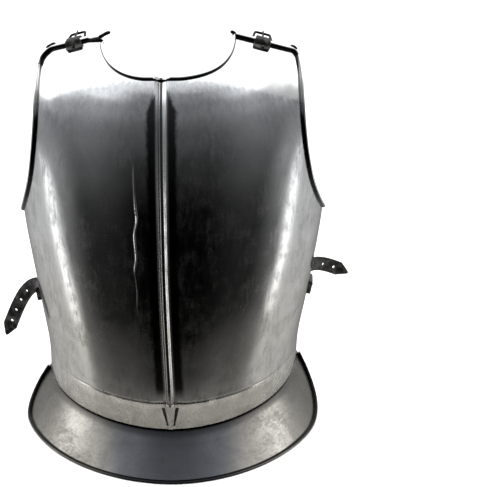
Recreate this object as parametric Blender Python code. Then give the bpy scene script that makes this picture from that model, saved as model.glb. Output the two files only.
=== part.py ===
"""Steel breastplate with a flared waist flange, shoulder buckles and side straps."""

import math

import bmesh
import bpy
import numpy as np
from mathutils import Vector

MM = 0.001

# The plate faces -Y and stands on its flange at height 0; left and right are as seen from the front
PLATE_THICKNESS = 1.5 * MM
CHEST_HALF_WIDTH = 197 * MM
CHEST_DEPTH = 184 * MM
SEAM_HEIGHT = 52 * MM
SEAM_SIDE_RISE_LEFT = 8 * MM
SEAM_SIDE_RISE_RIGHT = 22 * MM
BAND_HEIGHT = 52 * MM

# The upper edge: neck corners, neckline between them, shoulder tips and armholes
NECK_CORNER_HEIGHT = 534 * MM
NECK_DROP = 36 * MM
NECK_HALF_WIDTH_SHARE = 0.435
NECK_ROUNDNESS = 2.4
SHOULDER_TIP_DROP = 20 * MM
SHOULDER_LEAN = 22 * MM
SHOULDER_LEAN_FROM_SHARE = 0.75
ARMHOLE_DEPTH = 218 * MM

# The shoulder tips are rounded off, the worn left one more
TIP_ROUND_DROP_LEFT = 14 * MM
TIP_ROUND_DROP_RIGHT = 4 * MM
TIP_ROUND_WIDTH_SHARE_LEFT = 0.24
TIP_ROUND_WIDTH_SHARE_RIGHT = 0.10
TIP_ROUND_FROM_SHARE = 0.8

# The hammered plate's waist sits turned a little to its chest
WAIST_TURN = math.radians(3.0)
WAIST_TURN_TOP = 300 * MM

# The pressed ridge, a little left of the middle, with a shallow gutter on each side
RIB_HALF_WIDTH = 8.5 * MM
RIB_HEIGHT = 5.5 * MM
RIB_GUTTER_WIDTH = 12.5 * MM
RIB_GUTTER_DEPTH = 1.6 * MM
RIB_SIDE_SHIFT = -5.7 * MM
RIB_SHIFT_REACH = 80 * MM
RIB_FADE_HEIGHT = 50 * MM
RIB_FOOT_SHARE = 0.3
RIB_GUTTER_FOOT_SHARE = 0.3

# Edges rolled outward; the flange's roll is ground flat where it stands
NECK_ROLL_RADIUS = 2.5 * MM
SHOULDER_ROLL_RADIUS = 3.1 * MM
ARMHOLE_ROLL_RADIUS = 2.6 * MM
ARMHOLE_ROLL_FADE = 22 * MM
FLANGE_ROLL_RADIUS = 2.75 * MM
STANDING_FLAT = 1.1 * MM

# The flared waist flange, tucked inside the plate's lower margin
PIECE_GAP = 0.3 * MM
FLANGE_GAP = 0.5 * MM
FLANGE_THICKNESS = 1.5 * MM
FLANGE_TUCK = 10 * MM
FLANGE_FRONT_REACH = 44 * MM
FLANGE_SIDE_REACH_LEFT = 36 * MM
FLANGE_SIDE_REACH_RIGHT = 33 * MM
FLANGE_END_SHARE = 0.14
FLANGE_END_START_LEFT = 0.80
FLANGE_END_START_RIGHT = 0.66

# Buckle prong, then the leather tab slotted for it and looped round the buckle's bar
PRONG_RADIUS = 1.1 * MM
PRONG_SIDE_ROOM = 1.6 * MM
PRONG_OVERRUN = 2.5 * MM
PRONG_WRAP_START = math.radians(-28)
PRONG_WRAP_TURN = math.radians(242)
LEATHER_THICKNESS = 2.2 * MM
LEATHER_GAP = 0.48 * MM
LEATHER_CORNER_CUT = 2 * MM
TAB_PLACE_SHARE = 0.40
TAB_WIDTH = 19.5 * MM
TAB_LOOP_NARROWER = 3 * MM
TAB_RUN = 11 * MM
TAB_RIVET_SHARE = 0.75
TAB_LAST_FLAT_SHARE = 0.47
TAB_ROLL_START = math.radians(38)
TAB_ROLL_END = math.radians(62)
TAB_LOOP_START = math.radians(78)
TAB_LOOP_TURN = math.radians(262)

# Buckle frame: a trapezoid of round wire, its bar the longest side
BUCKLE_BAR_RADIUS = 1.5 * MM
BUCKLE_CORNER = 3 * MM
BUCKLE_BAR_LENGTH = TAB_WIDTH - TAB_LOOP_NARROWER + 2 * BUCKLE_CORNER
BUCKLE_FAR_SHARE = 0.78
BUCKLE_REACH = 18 * MM
BUCKLE_STAND_OFF = 0.4 * MM
BUCKLE_LIFT = math.radians(10)
BAR_CLEARANCE = 0.3 * MM

# Side straps with a doubled root riveted on the plate and a tapered free end
STRAP_WIDTH = 20 * MM
STRAP_FREE_LENGTH = 122 * MM
STRAP_ROOT_LENGTH = 22 * MM
STRAP_ROOT_STEP = 5 * MM
STRAP_ROOT_THICKNESS = 5.2 * MM
STRAP_RIVET_SHARE = 0.58
STRAP_TIP_TAPER = 17 * MM
STRAP_TIP_WIDTH = 5 * MM
STRAP_TIP_POINT = 2 * MM
STRAP_HOLE_RADIUS = 2.1 * MM
STRAP_HOLE_PITCH = 19 * MM
STRAP_HOLE_COUNT = 4
STRAP_HOLE_FROM_TIP = 26 * MM
STRAP_HEIGHT_LEFT = 177 * MM
STRAP_HEIGHT_RIGHT = 184 * MM
STRAP_WAY_SHARE = 0.1

# Rivets: round shank, domed head outside and a flat tail inside
RIVET_SHANK_RADIUS = 1.2 * MM
RIVET_HEAD_RADIUS = 2.2 * MM
RIVET_HEAD_HEIGHT = 1.3 * MM
RIVET_TAIL_RADIUS = 2.0 * MM
RIVET_TAIL_HEIGHT = 0.8 * MM
RIVET_GAP = 0.45 * MM
RIVET_CUT_LENGTH = 8 * MM

SEAM_TO_CORNER = NECK_CORNER_HEIGHT - SEAM_HEIGHT
SHOULDER_TIP_HEIGHT = NECK_CORNER_HEIGHT - SHOULDER_TIP_DROP
ARMHOLE_BOTTOM_HEIGHT = SHOULDER_TIP_HEIGHT - ARMHOLE_DEPTH
RIB_ZONE_HALF_WIDTH = RIB_HALF_WIDTH + RIB_GUTTER_WIDTH
TAB_LOOP_WIDTH = TAB_WIDTH - TAB_LOOP_NARROWER
PRONG_SLOT = 2 * (PRONG_RADIUS + PRONG_SIDE_ROOM)

# Level sections of the plate, from the seam to the neck corners
# height: share of the rise from seam to neck corner; half_width: of CHEST_HALF_WIDTH;
# depth and set_back: of CHEST_DEPTH; roundness: 2 is an ellipse, less is keeled
PLATE_COLUMNS = ("height", "half_width", "depth", "set_back", "roundness")
PLATE_SECTIONS = (
    (0.000, 0.862, 0.913, 0.082, 1.86),
    (0.047, 0.860, 0.954, 0.077, 1.87),
    (0.085, 0.862, 0.984, 0.068, 1.88),
    (0.110, 0.866, 0.990, 0.060, 1.88),
    (0.217, 0.897, 1.000, 0.033, 1.92),
    (0.345, 0.934, 1.005, 0.011, 1.98),
    (0.472, 0.970, 1.000, 0.000, 2.02),
    (0.600, 0.990, 0.989, 0.000, 2.05),
    (0.706, 1.000, 0.957, 0.000, 2.06),
    (0.790, 1.000, 0.902, 0.000, 2.06),
    (0.855, 0.995, 0.837, 0.000, 2.05),
    (0.898, 0.985, 0.772, 0.000, 2.05),
    (0.928, 0.975, 0.700, 0.000, 2.05),
    (0.951, 0.965, 0.628, 0.000, 2.05),
    (0.972, 0.955, 0.555, 0.000, 2.05),
    (1.000, 0.940, 0.450, 0.000, 2.05),
)

# The armhole's cut, from its bottom to the shoulder tip
# height: share of that rise; half_width: share of CHEST_HALF_WIDTH
ARMHOLE_COLUMNS = ("height", "half_width")
ARMHOLE_CUT = (
    (0.00, 0.975),
    (0.09, 0.940),
    (0.20, 0.895),
    (0.31, 0.857),
    (0.46, 0.820),
    (0.62, 0.794),
    (0.80, 0.778),
    (0.92, 0.768),
    (1.00, 0.752),
)

# The flange's profile below the seam: shares of its drop to the floor and of its reach
FLANGE_COLUMNS = ("drop", "reach")
FLANGE_PROFILE = (
    (0.07, 0.00),
    (0.18, 0.07),
    (0.36, 0.25),
    (0.60, 0.52),
    (0.82, 0.78),
    (1.00, 1.00),
)

# The prong's straight part: share of its length and share of PRONG_RADIUS there
PRONG_TAPER = (
    (0.45, 1.00),
    (0.85, 0.85),
    (1.00, 0.50),
)

# How each free strap leaves the plate's side edge: share of its free length,
# turn outward from straight back and droop below level, both in degrees
STRAP_COLUMNS = ("share", "outward", "droop")
STRAP_BEND_LEFT = (
    (0.00, 10, 0),
    (0.14, 44, 26),
    (0.32, 58, 50),
    (0.60, 68, 64),
    (1.00, 80, 67),
)
STRAP_BEND_RIGHT = (
    (0.00, 0, 0),
    (0.30, 8, 3),
    (0.45, 30, 12),
    (0.60, 52, 20),
    (1.00, 72, 33),
)

# How finely the solids are faceted; places are shares of the stretch they divide
RIB_ZONE_SHARE = 0.094
RIB_COLUMN_PLACES = (0.0, 0.16, 0.29, 0.41, 0.6, 1.0)
NECK_COLUMN_COUNT = 8
NECK_COLUMN_CROWDING = 0.42
SHOULDER_COLUMN_PLACES = (0.16, 0.32, 0.48, 0.64, 0.76, 0.87, 0.95, 1.0)
BAND_ROW_PLACES = (0.0, 0.23, 0.46, 0.65, 0.77, 1.0)
SIDE_ROW_COUNT = 6
ARMHOLE_ROW_PLACES = (0.02, 0.08, 0.17, 0.28, 0.40, 0.53, 0.65, 0.76, 0.85, 0.92, 0.97, 1.0)
FLANGE_COLUMN_COUNT = 34
FLANGE_COLUMN_CROWDING = 1.12
FLANGE_TUCK_PLACES = (1.0, 0.5, 0.0)
RIM_SEGMENTS = 6
TAB_ROLL_CREASES = 4
TAB_LOOP_CREASES = 8
PRONG_WRAP_POINTS = 8
STRAP_STEP_COUNT = 14
FRAME_SIDES = 8
PRONG_SIDES = 6
RIVET_SIDES = 10
RIVET_DOME_ANGLES = (0, 30, 58)
SMOOTH_ANGLE = math.radians(40)
NORMAL_STEP = 1e-3
SAME_PLACE = 1e-6

STEEL = ("polished_steel", (0.55, 0.56, 0.57, 1.0), 1.0, 0.22)
BLACK_STEEL = ("blackened_steel", (0.03, 0.03, 0.03, 1.0), 0.9, 0.4)
LEATHER = ("black_leather", (0.015, 0.014, 0.013, 1.0), 0.0, 0.45)


def column(rows, names, name):
    """One named column of a table as an array."""
    return np.array([row[names.index(name)] for row in rows], float)


def through(places, values, at):
    """A smooth curve through a table's values."""
    secants = np.diff(values) / np.diff(places)
    gaps = np.diff(places)
    slopes = np.empty(len(places))
    slopes[0], slopes[-1] = secants[0], secants[-1]
    slopes[1:-1] = (secants[:-1] * gaps[1:] + secants[1:] * gaps[:-1]) / (gaps[:-1] + gaps[1:])
    at = np.clip(at, places[0], places[-1])
    index = np.clip(np.searchsorted(places, at, side="right") - 1, 0, len(gaps) - 1)
    width = gaps[index]
    t = (at - places[index]) / width
    start, end = values[index], values[index + 1]
    rise_in, rise_out = slopes[index] * width, slopes[index + 1] * width
    return (start * (1 + 2 * t) * (1 - t) ** 2 + rise_in * t * (1 - t) ** 2
            + end * t * t * (3 - 2 * t) + rise_out * t * t * (t - 1))


def ease(low, high, at):
    """0 below low, 1 above high, smooth between."""
    t = np.clip((at - low) / (high - low), 0.0, 1.0)
    return t * t * (3 - 2 * t)


def unit(vectors):
    return vectors / np.linalg.norm(vectors, axis=-1, keepdims=True)


def rib_bump(x, above_seam):
    """How far the plate stands out at a distance from its middle line."""
    strength = RIB_FOOT_SHARE + (1 - RIB_FOOT_SHARE) * ease(0, RIB_FADE_HEIGHT, above_seam)
    across = np.clip(np.abs(x) / RIB_HALF_WIDTH, 0, 1)
    ridge = RIB_HEIGHT * (0.5 + 0.5 * np.cos(math.pi * across)) * strength
    beside = np.clip((np.abs(x) - RIB_HALF_WIDTH) / RIB_GUTTER_WIDTH, 0, 1)
    gutter_on = ease(RIB_GUTTER_FOOT_SHARE, 1.0, above_seam / RIB_FADE_HEIGHT)
    gutter = RIB_GUTTER_DEPTH * np.sin(math.pi * np.sqrt(beside)) * gutter_on
    return ridge - gutter


def top_height(across):
    """Height of the plate's upper edge: neckline, neck corner, shoulder, tip."""
    share = np.clip(np.abs(across) / NECK_HALF_WIDTH_SHARE, 0, 1)
    dip = (1 - share ** NECK_ROUNDNESS) ** (1 / NECK_ROUNDNESS)
    neck = NECK_CORNER_HEIGHT - NECK_DROP * dip
    outer = np.clip((np.abs(across) - NECK_HALF_WIDTH_SHARE) / (1 - NECK_HALF_WIDTH_SHARE), 0, 1)
    shoulder = NECK_CORNER_HEIGHT - SHOULDER_TIP_DROP * outer
    return np.where(np.abs(across) < NECK_HALF_WIDTH_SHARE, neck, shoulder)


def tip_round(across):
    """How far the rounding of a shoulder tip lowers the upper edge."""
    left = np.asarray(across) < 0
    width = np.where(left, TIP_ROUND_WIDTH_SHARE_LEFT, TIP_ROUND_WIDTH_SHARE_RIGHT)
    drop = np.where(left, TIP_ROUND_DROP_LEFT, TIP_ROUND_DROP_RIGHT)
    outer = (np.abs(across) - NECK_HALF_WIDTH_SHARE) / (1 - NECK_HALF_WIDTH_SHARE)
    t = np.clip((outer - (1 - width)) / width, 0, 1)
    return drop * (1 - np.sqrt(1 - t ** 2))


def seam_height(across):
    """Height of the plate's lower edge, which rises unequally to its two ends."""
    side_rise = np.where(np.asarray(across) < 0, SEAM_SIDE_RISE_LEFT, SEAM_SIDE_RISE_RIGHT)
    return SEAM_HEIGHT + side_rise * np.abs(across) ** 2


def band_top_height(across):
    return seam_height(across) + BAND_HEIGHT


def plate_point(across, up):
    """A point of the plate's outer face. across runs from -1 to 1 between the side borders.

    up runs from -1 at the seam to 0 at the top of the lower band and 1 at the upper edge.
    """
    across, up = np.broadcast_arrays(np.asarray(across, float), np.asarray(up, float))
    seam = seam_height(across)
    band_top = band_top_height(across)
    height = np.where(up < 0, band_top + up * BAND_HEIGHT,
                      band_top + up * (top_height(across) - band_top))
    near_top = np.clip((up - TIP_ROUND_FROM_SHARE) / (1 - TIP_ROUND_FROM_SHARE), 0, 1)
    height = height - tip_round(across) * near_top
    lean_from = SHOULDER_LEAN_FROM_SHARE * NECK_CORNER_HEIGHT
    lean = SHOULDER_LEAN * across ** 2 * ease(lean_from, NECK_CORNER_HEIGHT - NECK_DROP, height)
    rise = np.clip((height - seam) / SEAM_TO_CORNER + lean / NECK_CORNER_HEIGHT, 0, 1)
    places = column(PLATE_SECTIONS, PLATE_COLUMNS, "height")
    half_width, depth, set_back, roundness = (
        through(places, column(PLATE_SECTIONS, PLATE_COLUMNS, name), rise)
        for name in PLATE_COLUMNS[1:])
    half_width = half_width * CHEST_HALF_WIDTH
    depth = depth * CHEST_DEPTH
    cut_rise = (height - ARMHOLE_BOTTOM_HEIGHT) / ARMHOLE_DEPTH
    cut = CHEST_HALF_WIDTH * through(column(ARMHOLE_CUT, ARMHOLE_COLUMNS, "height"),
                                     column(ARMHOLE_CUT, ARMHOLE_COLUMNS, "half_width"), cut_rise)
    border = np.where(cut_rise > 0, np.minimum(cut, half_width), half_width)
    border_angle = np.arcsin(np.clip(border / half_width, 0, 1) ** (roundness / 2))
    zone_angle = np.arcsin((RIB_ZONE_HALF_WIDTH / half_width) ** (roundness / 2))
    side = np.abs(across)
    in_zone = np.clip(side / RIB_ZONE_SHARE, 0, 1) * RIB_ZONE_HALF_WIDTH
    outer = (side - RIB_ZONE_SHARE) / (1 - RIB_ZONE_SHARE)
    angle = np.where(side < RIB_ZONE_SHARE,
                     np.arcsin((in_zone / half_width) ** (roundness / 2)),
                     zone_angle + (border_angle - zone_angle) * np.clip(outer, 0, 1))
    beside_rib = np.sign(across) * half_width * np.sin(angle) ** (2 / roundness)
    local = (1 - np.clip(np.abs(beside_rib) / RIB_SHIFT_REACH, 0, 1) ** 2) ** 2
    x = beside_rib + RIB_SIDE_SHIFT * local
    round_off = np.clip(1 - (np.abs(x) / half_width) ** roundness, 0, 1) ** (1 / roundness)
    forward = depth * round_off + rib_bump(beside_rib, height - seam)
    y = set_back * CHEST_DEPTH - forward
    return turned(np.stack([x, y, height], -1))


def turned(points):
    """The hammered plate's waist sits turned a little to its chest, about its own middle."""
    turn = WAIST_TURN * (1 - ease(0, WAIST_TURN_TOP, points[..., 2]))
    middle = -CHEST_DEPTH / 2
    x, y, z = points[..., 0], points[..., 1] - middle, points[..., 2]
    return np.stack([x * np.cos(turn) - y * np.sin(turn),
                     x * np.sin(turn) + y * np.cos(turn) + middle, z], -1)


def plate_normal(across, up):
    """Outward normal of the plate's outer face."""
    across, up = np.asarray(across, float), np.asarray(up, float)
    low, high = np.maximum(across - NORMAL_STEP, -1), np.minimum(across + NORMAL_STEP, 1)
    down, top = np.maximum(up - NORMAL_STEP, -1), np.minimum(up + NORMAL_STEP, 1)
    along = plate_point(high, up) - plate_point(low, up)
    rise = plate_point(across, top) - plate_point(across, down)
    return unit(np.cross(along, rise))


def grid_normals(grid):
    """Outward normals of a grid of points, from its own neighbours."""
    along = np.gradient(grid, axis=0)
    rise = np.gradient(grid, axis=1)
    return unit(np.cross(along, rise))


def border_loop(columns, rows):
    """Grid places once round the border: up the right side, back along the top, down, along."""
    loop = [(columns - 1, j) for j in range(rows)]
    loop += [(i, rows - 1) for i in range(columns - 2, -1, -1)]
    loop += [(0, j) for j in range(rows - 2, -1, -1)]
    loop += [(i, 0) for i in range(1, columns - 1)]
    return loop


def sheet_solid(grid, thickness, rim_radius, lowest=None):
    """A closed sheet of metal whose border is a bead of the radius given for each border point.

    Nothing of it goes below the lowest height, where one is given.
    """
    columns, rows = grid.shape[:2]
    normals = grid_normals(grid)
    inner = grid - normals * thickness
    outer = grid.copy()
    loop = border_loop(columns, rows)
    points = np.array([grid[place] for place in loop])
    ways = unit(np.roll(points, -1, 0) - np.roll(points, 1, 0))
    rim_rows = []
    for index, place in enumerate(loop):
        normal = normals[place]
        beyond = unit(np.cross(ways[index], normal))
        radius = max(rim_radius[index], thickness / 2)
        lift = radius - thickness
        start = math.pi + math.asin(max(-1.0, min(1.0, lift / radius)))
        centre = grid[place] + normal * lift
        row = []
        for step in range(RIM_SEGMENTS + 1):
            angle = start + (-math.pi / 2 - start) * step / RIM_SEGMENTS
            row.append(centre + beyond * radius * math.cos(angle) + normal * radius * math.sin(angle))
        outer[place] = row[0]
        inner[place] = row[-1]
        rim_rows.append(row[1:-1])
    vertices = list(outer.reshape(-1, 3)) + list(inner.reshape(-1, 3))
    inner_start = columns * rows
    rim_start = 2 * inner_start
    for row in rim_rows:
        vertices.extend(row)
    if lowest is not None:
        vertices = [np.array([p[0], p[1], max(p[2], lowest)]) for p in vertices]
    faces = []
    for i in range(columns - 1):
        for j in range(rows - 1):
            a, b = i * rows + j, (i + 1) * rows + j
            faces.append((a, b, b + 1, a + 1))
            faces.append((inner_start + a + 1, inner_start + b + 1, inner_start + b, inner_start + a))

    def rim_vertex(index, step):
        place = loop[index % len(loop)]
        if step == 0:
            return place[0] * rows + place[1]
        if step == RIM_SEGMENTS:
            return inner_start + place[0] * rows + place[1]
        return rim_start + (index % len(loop)) * (RIM_SEGMENTS - 1) + step - 1

    for index in range(len(loop)):
        for step in range(RIM_SEGMENTS):
            faces.append((rim_vertex(index, step), rim_vertex(index, step + 1),
                          rim_vertex(index + 1, step + 1), rim_vertex(index + 1, step)))
    return vertices, faces


def surface_material(recipe):
    name, colour, metallic, roughness = recipe
    material = bpy.data.materials.get(name) or bpy.data.materials.new(name)
    material.use_nodes = True
    shader = material.node_tree.nodes["Principled BSDF"]
    shader.inputs["Base Color"].default_value = colour
    shader.inputs["Metallic"].default_value = metallic
    shader.inputs["Roughness"].default_value = roughness
    return material


def add_object(name, vertices, faces, recipe, pivot=None):
    """A named object; with a pivot, its origin lies there."""
    origin = Vector(pivot) if pivot is not None else Vector((0, 0, 0))
    mesh = bpy.data.meshes.new(name)
    mesh.from_pydata([tuple(Vector(v) - origin) for v in vertices], [], faces)
    work = bmesh.new()
    work.from_mesh(mesh)
    bmesh.ops.triangulate(work, faces=[f for f in work.faces if len(f.verts) > 4])
    bmesh.ops.recalc_face_normals(work, faces=work.faces)
    work.to_mesh(mesh)
    work.free()
    mesh.shade_smooth()
    mesh.set_sharp_from_angle(angle=SMOOTH_ANGLE)
    mesh.materials.append(surface_material(recipe))
    item = bpy.data.objects.new(name, mesh)
    item.location = origin
    item.parent = ROOT
    bpy.context.collection.objects.link(item)
    return item


def plate_columns():
    """Across places of the plate's grid, close together at the rib and the neck corners."""
    rib = [RIB_ZONE_SHARE * place for place in RIB_COLUMN_PLACES]
    reach = NECK_COLUMN_CROWDING * math.pi
    neck = [RIB_ZONE_SHARE + (NECK_HALF_WIDTH_SHARE - RIB_ZONE_SHARE)
            * math.sin(reach * k / NECK_COLUMN_COUNT) / math.sin(reach)
            for k in range(1, NECK_COLUMN_COUNT + 1)]
    shoulder = [NECK_HALF_WIDTH_SHARE + (1 - NECK_HALF_WIDTH_SHARE) * place
                for place in SHOULDER_COLUMN_PLACES]
    half = rib + neck + shoulder
    return np.array([-place for place in reversed(half[1:])] + half)


def plate_rows():
    """Up places of the plate's grid: the lower band, the sides, then the armhole's height."""
    band = [place - 1 for place in BAND_ROW_PLACES]
    band_top = float(band_top_height(1.0))
    armhole = (ARMHOLE_BOTTOM_HEIGHT - band_top) / (SHOULDER_TIP_HEIGHT - band_top)
    side = [armhole * k / SIDE_ROW_COUNT for k in range(1, SIDE_ROW_COUNT + 1)]
    upper = [armhole + (1 - armhole) * place for place in ARMHOLE_ROW_PLACES]
    return np.array(band + side + upper)


def breast_plate():
    """Chest plate with its rib; neck, shoulder and armhole edges are rolled outward."""
    grid = plate_point(plate_columns()[:, None], plate_rows()[None, :])
    columns, rows = grid.shape[:2]
    beyond_neck = np.abs(plate_columns()) > NECK_HALF_WIDTH_SHARE + SAME_PLACE
    fade = ARMHOLE_ROLL_FADE / 2
    radii = []
    for i, j in border_loop(columns, rows):
        above = grid[i, j, 2] - ARMHOLE_BOTTOM_HEIGHT
        if j < rows - 1:
            radii.append(ARMHOLE_ROLL_RADIUS * float(ease(-fade, fade, above)))
        else:
            radii.append(SHOULDER_ROLL_RADIUS if beyond_neck[i] else NECK_ROLL_RADIUS)
    vertices, faces = sheet_solid(grid, PLATE_THICKNESS, radii)
    return add_object("breast_plate", vertices, faces, STEEL)


def flange_fade(across):
    """1 along the flange, falling to its end share at the rear corners."""
    start = np.where(across < 0, FLANGE_END_START_LEFT, FLANGE_END_START_RIGHT)
    t = np.clip((np.abs(across) - start) / (1 - start), 0, 1)
    return FLANGE_END_SHARE + (1 - FLANGE_END_SHARE) * np.sqrt(1 - t ** 2)


def flat_front(across, up):
    """The plate's outer face as it would be without its rib."""
    points = plate_point(across, up).copy()
    x = np.abs(across) / RIB_ZONE_SHARE * RIB_ZONE_HALF_WIDTH
    bump = rib_bump(x, points[..., 2] - seam_height(across))
    points[..., 1] += np.where(np.abs(across) < RIB_ZONE_SHARE, bump, 0.0)
    return points


def waist_flange():
    """Flared skirt whose top is tucked inside the plate and whose rolled edge stands on the floor."""
    across = np.linspace(-1, 1, FLANGE_COLUMN_COUNT + 1)
    across = across * (FLANGE_COLUMN_CROWDING - (FLANGE_COLUMN_CROWDING - 1) * across ** 2)
    rows = []
    for place in FLANGE_TUCK_PLACES:
        up = place * FLANGE_TUCK / BAND_HEIGHT - 1
        rows.append(flat_front(across, up) - plate_normal(across, up) * (PLATE_THICKNESS + FLANGE_GAP))
    seam = rows[-1]
    run = (flat_front(np.minimum(across + NORMAL_STEP, 1), -1.0)
           - flat_front(np.maximum(across - NORMAL_STEP, -1), -1.0))
    level = unit(np.stack([run[:, 1], -run[:, 0], 0 * run[:, 0]], -1))
    fade = flange_fade(across)
    side_reach = np.where(across < 0, FLANGE_SIDE_REACH_LEFT, FLANGE_SIDE_REACH_RIGHT)
    reach = FLANGE_FRONT_REACH + (side_reach - FLANGE_FRONT_REACH) * across ** 2
    downs = column(FLANGE_PROFILE, FLANGE_COLUMNS, "drop")
    outs = column(FLANGE_PROFILE, FLANGE_COLUMNS, "reach")
    edge_fall, edge_reach = (1 - downs[-2]) * SEAM_HEIGHT, (1 - outs[-2]) * FLANGE_FRONT_REACH
    edge_lift = (FLANGE_ROLL_RADIUS - FLANGE_THICKNESS) * edge_reach / math.hypot(edge_fall, edge_reach)
    drop = seam[:, 2] - (FLANGE_ROLL_RADIUS - STANDING_FLAT - edge_lift)
    for share_down, share_out in zip(downs, outs):
        out = level * (reach * fade * share_out)[:, None]
        down = np.array([0, 0, 1]) * (drop * fade * share_down)[:, None]
        rows.append(seam + out - down)
    rows.reverse()
    grid = np.stack(rows, 1)
    columns, count = grid.shape[:2]
    radii = [FLANGE_ROLL_RADIUS if j == 0 else 0.0 for i, j in border_loop(columns, count)]
    vertices, faces = sheet_solid(grid, FLANGE_THICKNESS, radii, lowest=0.0)
    return add_object("waist_flange", vertices, faces, STEEL)


def swept_rod(path, radii, closed, sides, across_ways):
    """A rod of round section along a path; the ways given fix where its flats lie."""
    count = len(path)
    vertices = []
    for index in range(count):
        ahead = path[(index + 1) % count] if closed or index < count - 1 else path[index]
        behind = path[index - 1] if closed or index > 0 else path[index]
        way = unit(ahead - behind)
        across = across_ways[index] - way * np.dot(across_ways[index], way)
        across = unit(across)
        third = np.cross(way, across)
        for k in range(sides):
            angle = 2 * math.pi * (k + 0.5) / sides
            vertices.append(path[index] + radii[index]
                            * (across * math.cos(angle) + third * math.sin(angle)))
    faces = []
    for index in range(count if closed else count - 1):
        here, there = index * sides, ((index + 1) % count) * sides
        for k in range(sides):
            following = (k + 1) % sides
            faces.append((here + k, here + following, there + following, there + k))
    if not closed:
        faces.append(tuple(range(sides)))
        faces.append(tuple(range((count - 1) * sides, count * sides)))
    return vertices, faces


def leather_piece(name, outline, holes, stations, place, recipe=LEATHER):
    """A flat cut of leather, creased at the stations, laid by place(along, across, side)."""
    work = bmesh.new()
    for ring in [outline] + holes:
        corners = [work.verts.new((x, y, 0)) for x, y in ring]
        for k, corner in enumerate(corners):
            work.edges.new((corner, corners[(k + 1) % len(corners)]))
    bmesh.ops.triangle_fill(work, use_beauty=True, use_dissolve=False, edges=work.edges[:])
    for station in stations:
        bmesh.ops.bisect_plane(work, geom=work.verts[:] + work.edges[:] + work.faces[:],
                               dist=1e-7, plane_co=(station, 0, 0), plane_no=(1, 0, 0))
    bmesh.ops.recalc_face_normals(work, faces=work.faces)
    work.verts.index_update()
    flat = [(v.co.x, v.co.y) for v in work.verts]
    count = len(flat)
    vertices = [place(x, y, 1) for x, y in flat] + [place(x, y, -1) for x, y in flat]
    faces = []
    for face in work.faces:
        ring = [v.index for v in face.verts]
        faces.append(tuple(ring))
        faces.append(tuple(count + k for k in reversed(ring)))
    for edge in work.edges:
        if edge.is_boundary:
            a, b = edge.verts[0].index, edge.verts[1].index
            faces.append((a, b, count + b, count + a))
    work.free()
    return add_object(name, vertices, faces, recipe)


def ring_of(centre, radius, sides=8):
    return [(centre[0] + radius * math.cos(2 * math.pi * (k + 0.5) / sides),
             centre[1] + radius * math.sin(2 * math.pi * (k + 0.5) / sides)) for k in range(sides)]


def buckle_layout(side):
    """Where a shoulder's tab crosses the rolled edge and where its buckle's bar lies."""
    across = side * (NECK_HALF_WIDTH_SHARE + (1 - NECK_HALF_WIDTH_SHARE) * TAB_PLACE_SHARE)
    edge = plate_point(across, 1.0)
    along = plate_point(across + side * NORMAL_STEP, 1.0) - plate_point(across - side * NORMAL_STEP, 1.0)
    along = unit(along)
    normal = plate_normal(across, 1.0)
    normal = unit(normal - along * np.dot(normal, along))
    onward = np.cross(along, normal)
    onward = onward * np.sign(onward[2])
    back = np.array([0.0, 1.0, 0.0])
    back = unit(back - along * np.dot(back, along))
    up = np.cross(along, back)
    up = up * np.sign(up[2])
    roll = edge + normal * (SHOULDER_ROLL_RADIUS - PLATE_THICKNESS)
    loop_outer = BUCKLE_BAR_RADIUS + BAR_CLEARANCE + LEATHER_THICKNESS
    bar = roll + back * (SHOULDER_ROLL_RADIUS + PIECE_GAP + loop_outer + BUCKLE_STAND_OFF)
    frame_back = back * math.cos(BUCKLE_LIFT) + up * math.sin(BUCKLE_LIFT)
    frame_up = up * math.cos(BUCKLE_LIFT) - back * math.sin(BUCKLE_LIFT)
    return {"across": across, "along": along, "normal": normal, "onward": onward, "roll": roll,
            "back": back, "up": up, "bar": bar, "frame_back": frame_back, "frame_up": frame_up}


def surface_below(layout, distance):
    """Point and normal of the plate a given distance below the shoulder's edge."""
    across = layout["across"]
    tall = top_height(across) - band_top_height(across)
    up = 1.0 - distance * layout["onward"][2] / tall
    return plate_point(across, up), plate_normal(across, up)


def tab_route(layout):
    """Middle line of the tab in its own plane: over the plate, over the roll, round the bar.

    Each point is (from the roll's centre towards the back, upwards); the second lies under
    the rivet. The lengths along it come with it.
    """

    def flat(vector):
        return np.array([np.dot(vector, layout["back"]), np.dot(vector, layout["up"])])

    half = LEATHER_THICKNESS / 2
    points = []
    for share in (1.0, TAB_RIVET_SHARE, TAB_LAST_FLAT_SHARE):
        point, normal = surface_below(layout, TAB_RUN * share)
        points.append(flat(point + normal * (LEATHER_GAP + half) - layout["roll"]))
    over_roll = SHOULDER_ROLL_RADIUS + PIECE_GAP + half
    out = flat(layout["normal"])
    start = math.atan2(out[1], out[0]) + TAB_ROLL_START
    for angle in np.linspace(start, TAB_ROLL_END, TAB_ROLL_CREASES):
        points.append(np.array([math.cos(angle), math.sin(angle)]) * over_roll)
    round_bar = BUCKLE_BAR_RADIUS + BAR_CLEARANCE + half
    bar = flat(layout["bar"] - layout["roll"])
    for angle in np.linspace(TAB_LOOP_START, TAB_LOOP_START - TAB_LOOP_TURN, TAB_LOOP_CREASES):
        points.append(bar + np.array([math.cos(angle), math.sin(angle)]) * round_bar)
    points = np.array(points)
    return points, np.concatenate([[0.0], np.cumsum(np.linalg.norm(np.diff(points, axis=0), axis=1))])


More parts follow.
